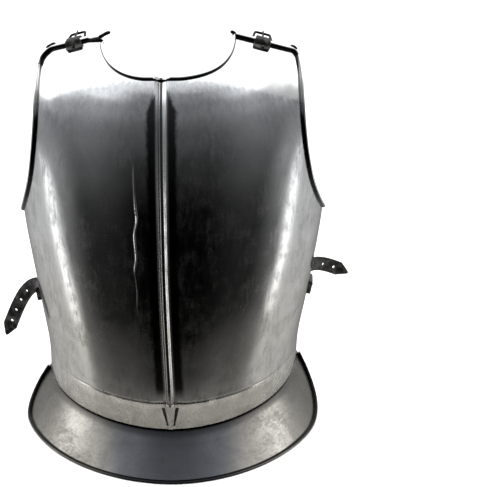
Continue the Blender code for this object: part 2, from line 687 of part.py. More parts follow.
def shoulder_tab(side, word):
    """Leather tab on the shoulder's face, over the rolled edge and round the buckle's bar."""
    layout = buckle_layout(side)
    route, lengths = tab_route(layout)
    runs = unit(np.diff(route, axis=0))
    ways = unit(np.concatenate([runs[:1], runs[:-1] + runs[1:], runs[-1:]]))

    def place(distance, sideways, face):
        index = int(np.clip(np.searchsorted(lengths, distance, side="right") - 1, 0, len(route) - 2))
        share = (distance - lengths[index]) / (lengths[index + 1] - lengths[index])
        middle = route[index] * (1 - share) + route[index + 1] * share
        way = ways[index] * (1 - share) + ways[index + 1] * share
        out = np.array([-way[1], way[0]])
        here = middle + out * face * LEATHER_THICKNESS / 2
        return (layout["roll"] + layout["back"] * here[0] + layout["up"] * here[1]
                + layout["along"] * sideways)

    half, loop_half, slot = TAB_WIDTH / 2, TAB_LOOP_WIDTH / 2, PRONG_SLOT / 2
    cut, total = LEATHER_CORNER_CUT, lengths[-1]
    narrow_from, slot_from = lengths[4], lengths[5]
    outline = [(0, -half + cut), (cut, -half), (narrow_from, -half), (slot_from, -loop_half),
               (total, -loop_half), (total, -slot), (slot_from, -slot), (slot_from, slot),
               (total, slot), (total, loop_half), (slot_from, loop_half), (narrow_from, half),
               (cut, half), (0, half - cut)]
    spot, normal = surface_below(layout, TAB_RUN * TAB_RIVET_SHARE)
    middle = spot + normal * (LEATHER_GAP + LEATHER_THICKNESS / 2)
    rivet_hole = ring_of((lengths[1], np.dot(middle - layout["roll"], layout["along"])),
                         RIVET_SHANK_RADIUS + LEATHER_GAP)
    return leather_piece("shoulder_tab_" + word, outline, [rivet_hole], lengths[1:-1], place)


def shoulder_buckle(side, word):
    """Trapezoid buckle frame turning on its bar inside the tab's loop."""
    layout = buckle_layout(side)
    bar, along, back = layout["bar"], layout["along"], layout["frame_back"]
    near, far = BUCKLE_BAR_LENGTH / 2, BUCKLE_BAR_LENGTH / 2 * BUCKLE_FAR_SHARE
    corners = [(-near, 0.0), (near, 0.0), (far, BUCKLE_REACH), (-far, BUCKLE_REACH)]
    path = []
    for k, corner in enumerate(corners):
        here = np.array(corner)
        before = np.array(corners[k - 1])
        after = np.array(corners[(k + 1) % 4])
        start = here + (before - here) / np.linalg.norm(before - here) * BUCKLE_CORNER
        end = here + (after - here) / np.linalg.norm(after - here) * BUCKLE_CORNER
        path += [start, 0.25 * start + 0.5 * here + 0.25 * end, end]
    points = [bar + along * p[0] + back * p[1] for p in path]
    ways = [layout["frame_up"]] * len(points)
    vertices, faces = swept_rod(points, [BUCKLE_BAR_RADIUS] * len(points), True, FRAME_SIDES, ways)
    return add_object("shoulder_buckle_" + word, vertices, faces, BLACK_STEEL, pivot=bar)


def buckle_prong(side, word):
    """Prong wrapped round the bar and lying on the frame's far side."""
    layout = buckle_layout(side)
    bar, back, up = layout["bar"], layout["frame_back"], layout["frame_up"]
    wrap = BUCKLE_BAR_RADIUS + BAR_CLEARANCE + PRONG_RADIUS
    flat = [(wrap * math.cos(angle), wrap * math.sin(angle)) for angle in
            np.linspace(PRONG_WRAP_START, PRONG_WRAP_START - PRONG_WRAP_TURN, PRONG_WRAP_POINTS)]
    radii = [PRONG_RADIUS] * PRONG_WRAP_POINTS
    length = BUCKLE_REACH + PRONG_OVERRUN
    for reach, radius in PRONG_TAPER:
        flat.append((length * reach, wrap))
        radii.append(PRONG_RADIUS * radius)
    points = [bar + back * p[0] + up * p[1] for p in flat]
    vertices, faces = swept_rod(points, radii, False, PRONG_SIDES, [layout["along"]] * len(points))
    return add_object("buckle_prong_" + word, vertices, faces, BLACK_STEEL, pivot=bar)


def strap_layout(side):
    """The side border at a strap's height: edge point, way back, way out and the face's run."""
    height = STRAP_HEIGHT_LEFT if side < 0 else STRAP_HEIGHT_RIGHT
    band_top = band_top_height(side)
    up = (height - band_top) / (SHOULDER_TIP_HEIGHT - band_top)
    edge = plate_point(side, up)
    across_way = edge - plate_point(side * (1 - STRAP_WAY_SHARE), up)
    rise = plate_point(side, up + NORMAL_STEP) - plate_point(side, up - NORMAL_STEP)
    out = unit(np.cross(across_way, rise))
    return {"up": up, "edge": edge, "back": unit(across_way), "out": out * np.sign(out[0] * side),
            "run": np.linalg.norm(across_way) / STRAP_WAY_SHARE}


def strap_route(layout, side):
    """Points of a strap's middle line, each with its way, the way across and the way out."""
    rows = STRAP_BEND_LEFT if side < 0 else STRAP_BEND_RIGHT
    shares = column(rows, STRAP_COLUMNS, "share")
    at = np.linspace(0, 1, STRAP_STEP_COUNT + 1)
    outward = np.radians(through(shares, column(rows, STRAP_COLUMNS, "outward"), at))[:, None]
    droop = np.radians(through(shares, column(rows, STRAP_COLUMNS, "droop"), at))[:, None]
    level_back = unit(layout["back"] * np.array([1, 1, 0]))
    level_out = unit(layout["out"] * np.array([1, 1, 0]))
    level_out = unit(level_out - level_back * np.dot(level_out, level_back))
    vertical = np.array([0.0, 0.0, 1.0])
    level = level_back * np.cos(outward) + level_out * np.sin(outward)
    ways = level * np.cos(droop) - vertical * np.sin(droop)
    widths = vertical * np.cos(droop) + level * np.sin(droop)
    faces = level_out * np.cos(outward) - level_back * np.sin(outward)
    steps = (ways[1:] + ways[:-1]) / 2 * STRAP_FREE_LENGTH / STRAP_STEP_COUNT
    start = layout["edge"] + layout["out"] * (LEATHER_GAP + LEATHER_THICKNESS / 2)
    points = start + np.concatenate([np.zeros((1, 3)), np.cumsum(steps, axis=0)])
    return points, widths, faces


def side_strap(side, word):
    """Strap riveted by its doubled root outside the plate's side edge, free end bent outward."""
    layout = strap_layout(side)
    route = strap_route(layout, side)
    root, step = STRAP_ROOT_LENGTH, STRAP_FREE_LENGTH / STRAP_STEP_COUNT
    tall = SHOULDER_TIP_HEIGHT - band_top_height(side)

    def place(distance, sideways, face):
        if distance <= root:
            across = side * (1.0 - (root - distance) / layout["run"])
            up = layout["up"] + sideways / tall
            thinning = float(ease(root - STRAP_ROOT_STEP, root, distance))
            thickness = STRAP_ROOT_THICKNESS + (LEATHER_THICKNESS - STRAP_ROOT_THICKNESS) * thinning
            lift = LEATHER_GAP if face < 0 else LEATHER_GAP + thickness
            return plate_point(across, up) + plate_normal(across, up) * lift
        index = min(int((distance - root) / step), STRAP_STEP_COUNT - 1)
        share = (distance - root) / step - index
        here, width, out = (rows[index] * (1 - share) + rows[index + 1] * share for rows in route)
        return here + unit(width) * sideways + unit(out) * face * LEATHER_THICKNESS / 2

    total = root + STRAP_FREE_LENGTH
    half, tip, cut, point = STRAP_WIDTH / 2, STRAP_TIP_WIDTH / 2, LEATHER_CORNER_CUT, STRAP_TIP_POINT
    outline = [(0, -half + cut), (cut, -half), (total - STRAP_TIP_TAPER, -half),
               (total - point, -tip), (total, 0), (total - point, tip),
               (total - STRAP_TIP_TAPER, half), (cut, half), (0, half - cut)]
    holes = [ring_of((total - STRAP_HOLE_FROM_TIP - STRAP_HOLE_PITCH * k, 0), STRAP_HOLE_RADIUS)
             for k in range(STRAP_HOLE_COUNT)]
    holes.append(ring_of((root * (1 - STRAP_RIVET_SHARE), 0), RIVET_SHANK_RADIUS + PIECE_GAP))
    creases = [root - STRAP_ROOT_STEP] + [root + step * k for k in range(STRAP_STEP_COUNT)]
    return leather_piece("side_strap_" + word, outline, holes, creases, place)


def rivet_cut(plate, name, spot, outward):
    """Rivet hole through the plate, cut by a guide cylinder that is not part of the object."""
    work = bmesh.new()
    radius = RIVET_SHANK_RADIUS + PIECE_GAP
    bmesh.ops.create_cone(work, cap_ends=True, segments=RIVET_SIDES, radius1=radius, radius2=radius,
                          depth=RIVET_CUT_LENGTH)
    mesh = bpy.data.meshes.new(name)
    work.to_mesh(mesh)
    work.free()
    guide = bpy.data.objects.new(name, mesh)
    guide.location = Vector(spot)
    guide.rotation_mode = "QUATERNION"
    guide.rotation_quaternion = Vector(outward).to_track_quat("Z", "Y")
    guide.hide_render = True
    guide.display_type = "WIRE"
    guide.parent = ROOT
    bpy.context.collection.objects.link(guide)
    cut = plate.modifiers.new(name, "BOOLEAN")
    cut.operation = "DIFFERENCE"
    cut.object = guide


def rivet(name, spot, outward, stack, plate):
    """Rivet through a leather stack and the plate."""
    rivet_cut(plate, name + "_hole", spot, outward)
    outer = stack + RIVET_GAP
    inner = -PLATE_THICKNESS - RIVET_GAP
    profile = [(inner - RIVET_TAIL_HEIGHT, RIVET_TAIL_RADIUS), (inner, RIVET_TAIL_RADIUS),
               (inner, RIVET_SHANK_RADIUS), (outer, RIVET_SHANK_RADIUS)]
    profile += [(outer + RIVET_HEAD_HEIGHT * math.sin(math.radians(angle)),
                 RIVET_HEAD_RADIUS * math.cos(math.radians(angle))) for angle in RIVET_DOME_ANGLES]
    way = Vector(outward)
    first = way.orthogonal().normalized()
    second = way.cross(first)
    vertices = [Vector(spot) + way * profile[0][0]]
    for height, radius in profile:
        for angle in np.arange(RIVET_SIDES) * 2 * math.pi / RIVET_SIDES:
            vertices.append(Vector(spot) + way * height
                            + (first * math.cos(angle) + second * math.sin(angle)) * radius)
    vertices.append(Vector(spot) + way * (outer + RIVET_HEAD_HEIGHT))
    last = len(vertices) - 1
    faces = []
    for k in range(RIVET_SIDES):
        following = (k + 1) % RIVET_SIDES
        faces.append((0, 1 + following, 1 + k))
        for ring in range(len(profile) - 1):
            a, b = 1 + ring * RIVET_SIDES, 1 + (ring + 1) * RIVET_SIDES
            faces.append((a + k, a + following, b + following, b + k))
        top = last - RIVET_SIDES
        faces.append((top + k, top + following, last))
    return add_object(name, vertices, faces, BLACK_STEEL)


def build():
    plate = breast_plate()
    waist_flange()
    for side, word in ((-1, "left"), (1, "right")):
        shoulder_tab(side, word)
        shoulder_buckle(side, word)
        buckle_prong(side, word)
        side_strap(side, word)
        spot, normal = surface_below(buckle_layout(side), TAB_RUN * TAB_RIVET_SHARE)
        rivet("tab_rivet_" + word, spot, normal, LEATHER_GAP + LEATHER_THICKNESS, plate)
        strap = strap_layout(side)
        across = side * (1.0 - STRAP_ROOT_LENGTH * STRAP_RIVET_SHARE / strap["run"])
        spot, normal = plate_point(across, strap["up"]), plate_normal(across, strap["up"])
        rivet("strap_rivet_" + word, spot, normal, LEATHER_GAP + STRAP_ROOT_THICKNESS, plate)


def centre_on_floor():
    """Put the middle of the whole breastplate's box over the origin, standing at height 0."""
    bpy.context.view_layer.update()
    solids = [item for item in bpy.data.objects if item.type == "MESH" and not item.hide_render]
    corners = np.array([item.matrix_world @ vertex.co for item in solids for vertex in item.data.vertices])
    middle = (corners.min(0) + corners.max(0)) / 2
    ROOT.location = (-middle[0], -middle[1], 0.0)


for old in list(bpy.data.objects):
    bpy.data.objects.remove(old)
ROOT = bpy.data.objects.new("breastplate_centre", None)
bpy.context.collection.objects.link(ROOT)
build()
centre_on_floor()
bpy.context.view_layer.update()
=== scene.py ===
import math
import bmesh
import bpy
import numpy as np
from mathutils import Matrix, Vector, noise


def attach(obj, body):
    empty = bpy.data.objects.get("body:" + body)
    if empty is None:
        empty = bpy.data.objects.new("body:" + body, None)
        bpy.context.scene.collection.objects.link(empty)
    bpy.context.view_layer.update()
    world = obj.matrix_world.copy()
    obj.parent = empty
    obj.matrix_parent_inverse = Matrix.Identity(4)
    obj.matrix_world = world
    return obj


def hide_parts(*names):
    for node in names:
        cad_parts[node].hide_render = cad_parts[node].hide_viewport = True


# A steel breastplate standing on its waist flange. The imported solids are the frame, and finer
# pieces of the same sizes stand in their places. -Y is the front, +Z is up, lengths are metres.
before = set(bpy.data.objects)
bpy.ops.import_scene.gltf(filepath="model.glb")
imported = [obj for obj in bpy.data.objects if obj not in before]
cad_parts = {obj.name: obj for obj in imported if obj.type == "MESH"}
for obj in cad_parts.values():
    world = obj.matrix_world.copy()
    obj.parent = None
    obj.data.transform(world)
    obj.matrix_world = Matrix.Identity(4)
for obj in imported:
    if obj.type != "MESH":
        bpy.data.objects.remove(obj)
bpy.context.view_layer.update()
mm = 0.001
sharpAngle = math.radians(35)  # edges that turn more than this stay sharp
print("frame loaded with", len(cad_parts), "nodes")


def ease(low, high, at):  # 0 below low, 1 above high, smooth between
    t = np.clip((np.asarray(at, float) - low) / (high - low), 0.0, 1.0)
    return t * t * (3 - 2 * t)


def hump(away):  # 1 in the middle, 0 from a distance of 1 on, round between
    return 0.5 + 0.5 * np.cos(math.pi * np.clip(away, 0, 1))


def unit(vectors):
    return vectors / np.linalg.norm(vectors, axis=-1, keepdims=True)


def through(rows, spot, at):  # smooth curve through one column of a table whose first column is the place
    places = np.array([row[0] for row in rows], float)
    values = np.array([row[spot] for row in rows], float)
    gaps = np.diff(places)
    secants = np.diff(values) / gaps
    slopes = np.empty(len(places))
    slopes[0], slopes[-1] = secants[0], secants[-1]
    slopes[1:-1] = (secants[:-1] * gaps[1:] + secants[1:] * gaps[:-1]) / (gaps[:-1] + gaps[1:])
    at = np.clip(at, places[0], places[-1])
    index = np.clip(np.searchsorted(places, at, side="right") - 1, 0, len(gaps) - 1)
    width = gaps[index]
    t = (at - places[index]) / width
    rise = slopes[index] * width * t * (1 - t) ** 2 - slopes[index + 1] * width * t * t * (1 - t)
    return values[index] * (1 + 2 * t) * (1 - t) ** 2 + values[index + 1] * t * t * (3 - 2 * t) + rise


def softNoise(points, grain, seed):  # smooth noise about 0, one value a point, its lumps about a grain across
    shift = Vector((seed * 7.31, seed * 3.17, seed * 1.93))
    flat = points.reshape(-1, 3)
    values = [noise.noise(Vector(point) / grain + shift) for point in flat]
    return np.array(values).reshape(points.shape[:-1])


def linearColour(hexCode):  # sRGB hex to the linear colour that the shaders take
    parts = [int(hexCode[k:k + 2], 16) / 255 for k in (0, 2, 4)]
    return [p / 12.92 if p <= 0.04045 else ((p + 0.055) / 1.055) ** 2.4 for p in parts] + [1.0]


# Sizes of the plate, as the solids have them
plate = {
    "thickness": 1.5 * mm,
    "chestHalfWidth": 197 * mm,
    "chestDepth": 184 * mm,
    "seamHeight": 52 * mm,
    "seamRiseLeft": 8 * mm,
    "seamRiseRight": 22 * mm,
    "bandHeight": 52 * mm,
    "neckCornerHeight": 534 * mm,
    "neckDrop": 36 * mm,
    "neckShare": 0.435,
    "neckRoundness": 2.4,
    "shoulderTipDrop": 20 * mm,
    "shoulderLean": 22 * mm,
    "shoulderLeanFrom": 0.75,
    "armholeDepth": 218 * mm,
    "tipRoundDrop": (14 * mm, 4 * mm),
    "tipRoundWidth": (0.24, 0.10),
    "tipRoundFrom": 0.8,
    "waistTurn": math.radians(3.0),
    "waistTurnTop": 300 * mm,
    "ribHalfWidth": 6.3 * mm,
    "ribHeight": 5.5 * mm,
    "ribShift": -5.7 * mm,
    "ribShiftReach": 80 * mm,
    "gutterWidth": 14.7 * mm,
    "gutterDepth": 1.6 * mm,
    "ribFadeHeight": 50 * mm,
    "ribFoot": 0.3,
    "gutterFoot": 0.3,
    "ribZone": 0.094,
    "neckRoll": 2.5 * mm,
    "shoulderRoll": 3.1 * mm,
    "armholeRoll": 2.6 * mm,
    "armholeRollFade": 22 * mm,
    "rimSegments": 14,
    "drift": (-0.25, 0.15),  # shares of the armhole's depth over which the grid's lines drift inwards
    "driftCrowding": 8,
    # hammer marks: lump width and how far they stand, broad planishing first
    "hammer": ((46 * mm, 0.16 * mm), (19 * mm, 0.035 * mm)),
}

# Level sections: height share, half width, depth, set back, roundness
plateSections = (
    (0.000, 0.862, 0.913, 0.082, 1.86),
    (0.047, 0.860, 0.954, 0.077, 1.87),
    (0.085, 0.862, 0.984, 0.068, 1.88),
    (0.110, 0.866, 0.990, 0.060, 1.88),
    (0.217, 0.897, 1.000, 0.033, 1.92),
    (0.345, 0.934, 1.005, 0.011, 1.98),
    (0.472, 0.970, 1.000, 0.000, 2.02),
    (0.600, 0.990, 0.989, 0.000, 2.05),
    (0.706, 1.000, 0.957, 0.000, 2.06),
    (0.790, 1.000, 0.902, 0.000, 2.06),
    (0.855, 0.995, 0.837, 0.000, 2.05),
    (0.898, 0.985, 0.772, 0.000, 2.05),
    (0.928, 0.975, 0.700, 0.000, 2.05),
    (0.951, 0.965, 0.628, 0.000, 2.05),
    (0.972, 0.955, 0.555, 0.000, 2.05),
    (1.000, 0.940, 0.450, 0.000, 2.05),
)

# The armhole's cut: height share from its bottom to the shoulder tip, half width
armholeCut = (
    (0.00, 0.975),
    (0.09, 0.940),
    (0.20, 0.895),
    (0.31, 0.857),
    (0.46, 0.820),
    (0.62, 0.794),
    (0.80, 0.778),
    (0.92, 0.768),
    (1.00, 0.752),
)
seamToCorner = plate["neckCornerHeight"] - plate["seamHeight"]
tipHeight = plate["neckCornerHeight"] - plate["shoulderTipDrop"]
armholeBottom = tipHeight - plate["armholeDepth"]
ribZoneHalfWidth = plate["ribHalfWidth"] + plate["gutterWidth"]


def ribBump(x, aboveSeam):
    strength = plate["ribFoot"] + (1 - plate["ribFoot"]) * ease(0, plate["ribFadeHeight"], aboveSeam)
    ridge = hump(np.abs(x) / plate["ribHalfWidth"])
    beside = np.clip((np.abs(x) - plate["ribHalfWidth"]) / plate["gutterWidth"], 0, 1)
    gutterOn = ease(plate["gutterFoot"], 1.0, aboveSeam / plate["ribFadeHeight"])
    gutter = np.sin(math.pi * np.sqrt(beside)) * gutterOn
    return plate["ribHeight"] * ridge * strength - plate["gutterDepth"] * gutter


def topHeight(across):  # neckline between the neck corners, then the shoulder down to its tip
    share = np.clip(np.abs(across) / plate["neckShare"], 0, 1)
    dip = (1 - share ** plate["neckRoundness"]) ** (1 / plate["neckRoundness"])
    outer = np.clip((np.abs(across) - plate["neckShare"]) / (1 - plate["neckShare"]), 0, 1)
    return np.where(np.abs(across) < plate["neckShare"],
                    plate["neckCornerHeight"] - plate["neckDrop"] * dip,
                    plate["neckCornerHeight"] - plate["shoulderTipDrop"] * outer)


def tipRound(across):  # how far the rounding of a shoulder tip lowers the upper edge, left then right
    left = np.asarray(across) < 0
    width = np.where(left, plate["tipRoundWidth"][0], plate["tipRoundWidth"][1])
    drop = np.where(left, plate["tipRoundDrop"][0], plate["tipRoundDrop"][1])
    outer = (np.abs(across) - plate["neckShare"]) / (1 - plate["neckShare"])
    t = np.clip((outer - (1 - width)) / width, 0, 1)
    return drop * (1 - np.sqrt(1 - t ** 2))


def seamLine(across):
    rise = np.where(np.asarray(across) < 0, plate["seamRiseLeft"], plate["seamRiseRight"])
    return plate["seamHeight"] + rise * np.abs(across) ** 2


def bandTop(across):
    return seamLine(across) + plate["bandHeight"]


def platePoint(across, up):  # across -1 to 1 between the sides, up -1 at the seam, 0 at the band, 1 at the top
    across, up = np.broadcast_arrays(np.asarray(across, float), np.asarray(up, float))
    seam, band = seamLine(across), bandTop(across)
    height = np.where(up < 0, band + up * plate["bandHeight"], band + up * (topHeight(across) - band))
    height = height - tipRound(across) * np.clip((up - plate["tipRoundFrom"]) / (1 - plate["tipRoundFrom"]), 0, 1)
    leanFrom = plate["shoulderLeanFrom"] * plate["neckCornerHeight"]
    leanTo = plate["neckCornerHeight"] - plate["neckDrop"]
    lean = plate["shoulderLean"] * across ** 2 * ease(leanFrom, leanTo, height)
    rise = np.clip((height - seam) / seamToCorner + lean / plate["neckCornerHeight"], 0, 1)
    halfWidth, depth, setBack, roundness = (through(plateSections, k, rise) for k in (1, 2, 3, 4))
    halfWidth = halfWidth * plate["chestHalfWidth"]
    depth = depth * plate["chestDepth"]
    cutRise = (height - armholeBottom) / plate["armholeDepth"]
    side = np.abs(across)
    outer = np.clip((side - plate["ribZone"]) / (1 - plate["ribZone"]), 0, 1)
    # the grid's lines drift inwards before they meet the armhole, so that none of its cells folds
    driftFrom, driftTo = plate["drift"]
    cut, drawn = (plate["chestHalfWidth"] * through(armholeCut, 1, at)
                  for at in (cutRise, np.maximum(cutRise, driftTo)))
    edgeAngle, drawnAngle = (np.arcsin(np.clip(reach / halfWidth, 0, 1) ** (roundness / 2))
                             for reach in (cut, drawn))
    edgeAngle = np.where(cutRise > 0, edgeAngle, math.pi / 2)
    innerAngle = math.pi / 2 + (drawnAngle - math.pi / 2) * ease(driftFrom, driftTo, cutRise)
    borderAngle = innerAngle + (edgeAngle - innerAngle) * outer ** plate["driftCrowding"]
    zoneAngle = np.arcsin((ribZoneHalfWidth / halfWidth) ** (roundness / 2))
    inZone = np.clip(side / plate["ribZone"], 0, 1) * ribZoneHalfWidth
    angle = np.where(side < plate["ribZone"], np.arcsin((inZone / halfWidth) ** (roundness / 2)),
                     zoneAngle + (borderAngle - zoneAngle) * outer)
    besideRib = np.sign(across) * halfWidth * np.sin(angle) ** (2 / roundness)
    local = (1 - np.clip(np.abs(besideRib) / plate["ribShiftReach"], 0, 1) ** 2) ** 2
    x = besideRib + plate["ribShift"] * local
    roundOff = np.clip(1 - (np.abs(x) / halfWidth) ** roundness, 0, 1) ** (1 / roundness)
    forward = depth * roundOff + ribBump(besideRib, height - seam)
    return turned(np.stack([x, setBack * plate["chestDepth"] - forward, height], -1))


def turned(points):  # the waist sits turned a little to the chest
    turn = plate["waistTurn"] * (1 - ease(0, plate["waistTurnTop"], points[..., 2]))
    middle = -plate["chestDepth"] / 2
    x, y = points[..., 0], points[..., 1] - middle
    return np.stack([x * np.cos(turn) - y * np.sin(turn),
                     x * np.sin(turn) + y * np.cos(turn) + middle, points[..., 2]], -1)


def plateNormal(across, up, step=1e-3):
    across, up = np.asarray(across, float), np.asarray(up, float)
    along = platePoint(np.minimum(across + step, 1), up) - platePoint(np.maximum(across - step, -1), up)
    rise = platePoint(across, np.minimum(up + step, 1)) - platePoint(across, np.maximum(up - step, -1))
    return unit(np.cross(along, rise))


def gridNormals(grid):
    return unit(np.cross(np.gradient(grid, axis=0), np.gradient(grid, axis=1)))


def borderLoop(columns, rows):  # grid places once round the border
    loop = [(columns - 1, j) for j in range(rows)]
    loop += [(i, rows - 1) for i in range(columns - 2, -1, -1)]
    loop += [(0, j) for j in range(rows - 2, -1, -1)]
    return loop + [(i, 0) for i in range(1, columns - 1)]


# From the plate's own frame to the room's: the middle of the whole thing stands over the origin
rootShift = np.array([1.3722, 53.6377, 0.0]) * mm


def placed(vertices):
    return np.asarray(vertices) + rootShift


def linked(name, data):  # an object in the room
    item = bpy.data.objects.new(name, data)
    bpy.context.collection.objects.link(item)
    return item


def solidMesh(name, vertices, faces, most):  # splits faces of more corners than that, turns all outwards
    mesh = bpy.data.meshes.new(name)
    mesh.from_pydata([tuple(v) for v in vertices], [], faces)
    work = bmesh.new()
    work.from_mesh(mesh)
    bmesh.ops.triangulate(work, faces=[f for f in work.faces if len(f.verts) > most])
    bmesh.ops.recalc_face_normals(work, faces=work.faces)
    work.to_mesh(mesh)
    work.free()
    return mesh


# The shape is vertices, faces and perhaps painted shade; the stuff is a slot and its material
def addMesh(name, shape, body, stuff, *stands):
    vertices, faces, *paintedShade = shape
    slot, material = stuff
    mesh = solidMesh(name, placed(vertices), faces, 4)
    mesh.shade_smooth()
    mesh.set_sharp_from_angle(angle=sharpAngle)
    mesh.materials.append(material)
    for values in paintedShade:  # how much painted shade lies on each vertex, for the material to read
        mesh.attributes.new("paintedShade", "FLOAT", "POINT").data.foreach_set("value", np.float32(values))
    piece = linked(name, mesh)
    if stands:
        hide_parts(*stands)
    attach(piece, body)
    print(name, "made with", len(faces), "faces")
    return piece


# A sheet with a rolled bead as its border, and the painted shade that lies on it
def sheetMesh(grid, thickness, radii, segments, paintedShadeSeed, paintedShadeTo, lowest=None):
    columns, rows = grid.shape[:2]
    normals = gridNormals(grid)
    inner = grid - normals * thickness
    outer = grid.copy()
    paintedShadeSeed = paintedShadeSeed.copy()
    loop = borderLoop(columns, rows)
    points = np.array([grid[place] for place in loop])
    ways = unit(np.roll(points, -1, 0) - np.roll(points, 1, 0))
    rims, rimPaintedShade = [], []
    for index, place in enumerate(loop):
        normal = normals[place]
        beyond = unit(np.cross(ways[index], normal))
        radius = max(radii[index], thickness / 2)
        lift = radius - thickness
        start = math.pi + math.asin(max(-1.0, min(1.0, lift / radius)))
        angles = np.linspace(start, -math.pi / 2, segments + 1)[:, None]
        row = grid[place] + normal * lift + radius * (beyond * np.cos(angles) + normal * np.sin(angles))
        outer[place], inner[place] = row[0], row[-1]
        rims.append(row[1:-1])
        black = ease(paintedShadeTo - 0.4, paintedShadeTo + 0.1, angles[:, 0]) * (radius > thickness)
        paintedShadeSeed[place] = max(paintedShadeSeed[place], black[0])
        rimPaintedShade.append(black[1:-1])
    vertices = np.concatenate([outer.reshape(-1, 3), inner.reshape(-1, 3), np.concatenate(rims)])
    paintedShade = np.concatenate([paintedShadeSeed.reshape(-1), np.zeros(columns * rows), np.concatenate(rimPaintedShade)])
    if lowest is not None:
        vertices[:, 2] = np.maximum(vertices[:, 2], lowest)
    innerStart, rimStart = columns * rows, 2 * columns * rows
    faces = []
    for i in range(columns - 1):
        for j in range(rows - 1):
            a, b = i * rows + j, (i + 1) * rows + j
            faces.append((a, b, b + 1, a + 1))
            faces.append((innerStart + a + 1, innerStart + b + 1, innerStart + b, innerStart + a))

    def rimVertex(index, step):
        i, j = loop[index % len(loop)]
        if step in (0, segments):
            return i * rows + j + (innerStart if step else 0)
        return rimStart + (index % len(loop)) * (segments - 1) + step - 1

    for index in range(len(loop)):
        for step in range(segments):
            faces.append((rimVertex(index, step), rimVertex(index, step + 1),
                          rimVertex(index + 1, step + 1), rimVertex(index + 1, step)))
    return vertices, faces, paintedShade


# Settings that many of the shader nodes share
smooth = {"interpolation_type": "SMOOTHSTEP"}
colours = {"data_type": "RGBA"}
times = {"operation": "MULTIPLY"}
timesPlus = {"operation": "MULTIPLY_ADD"}
larger = {"operation": "MAXIMUM"}


def join(tree, item, links):  # links map the item's inputs to values or to outputs of others
    for spot, value in links.items():
        if isinstance(value, bpy.types.NodeSocket):
            tree.links.new(value, item.inputs[spot])
        else:
            item.inputs[spot].default_value = value


def node(tree, kind, settings=None, links=None):  # adds a shader node
    item = tree.nodes.new(kind)
    for name, value in (settings or {}).items():
        setattr(item, name, value)
    join(tree, item, links or {})
    return item


def newMaterial(name):  # with its tree, its shader and the place on the object
    material = bpy.data.materials.new(name)
    material.use_nodes = True
    tree = material.node_tree
    return material, tree, tree.nodes["Principled BSDF"], node(tree, "ShaderNodeTexCoord").outputs["Object"]


# Sheet steel, hand-planished and buffed on a soft wheel. The eye sees a near mirror broken up by
# smeared finger smudges, level polishing lines and small pits. Painted on it: dark reflection and shade
# beside and along the ridge, a darker zone of shade under the ceiling's reflection, a pale floor reflection
# on the waist band, and near-black shade along the beads and in the slits
polishedSteel = {
    "bright": "dadbdc",
    "smudged": "b4b5b3",
    # painted dark reflection and shade beside and along the ridge
    "paintedDarkReflection": "1d1c1b",
    "pitColour": "4b4745",
    "sharpest": 0.13,
    "dullest": 0.31,
    "smudgeSize": 34 * mm,
    "smearSize": 5 * mm,
    "smearLength": 4.0,  # smears run this many times longer up the plate than across it
    "lineSpacing": 1.5 * mm,  # real polishing lines are near 0.1 mm, drawn coarser so that they show
    "lineLength": 42 * mm,
    "pitSpacing": 3.4 * mm,
    "relief": 0.05 * mm,
    "bandTop": 97 * mm,
    # painted pale reflection of the floor on the waist band, plain and smeared
    "bandPaintedReflection": "bcb8b0",
    "bandPaintedReflectionSmeared": "8f8b84",
    "warmed": "f3efe7",
    # near black of the painted shade on the beads, in the slits and under the seam
    "blackeningAndPaintedShade": "0d0d0e",
    "gutterFrom": 6.2 * mm,
    "gutterTo": 17.0 * mm,
    "gutterTop": 482 * mm,
    # a darker zone of painted shade under the ragged edge of the ceiling's reflection: its colour, top, droop and
    # foot
    "belowReflectionShade": "a2a6ab",
    "reflectionEdge": 499 * mm,
    "reflectionEdgeDroop": 1.474,  # how the ragged upper edge of the painted shade drops towards the sides, per metre
    "belowReflectionFoot": 340 * mm,
    "wipedHeights": (444 * mm, 484 * mm),  # from the painted shade's top on the shoulders are wiped clean
    "oiledHeights": (160 * mm, 340 * mm),  # hand oil has warmed the steel up to these
    "middle": 70 * mm,  # how far behind the origin the hollow's middle lies
    "bandSides": (85 * mm, 150 * mm),  # the band fades between these places aside
    # widths of the painted dark reflection on the ridge's crest and of the painted shade on its left flank
    "crestWidths": (0.9 * mm, 2.3 * mm),
    "flankWidths": (7 * mm, 9 * mm),
}

# The same sheet as a darker copy, painted shade against the plate: a little duller and warmer, with a painted
# dark blue-grey reflection in front and no band or gutters
flangeSteel = dict(polishedSteel, bright="8b8984", smudged="72706b", sharpest=0.24, dullest=0.42, bandTop=0.0,
                   smearLength=0.45, paintedFrontReflection="494c53", frontReflectionWander=70 * mm,
                   frontReflectionSides=(72 * mm, 112 * mm))


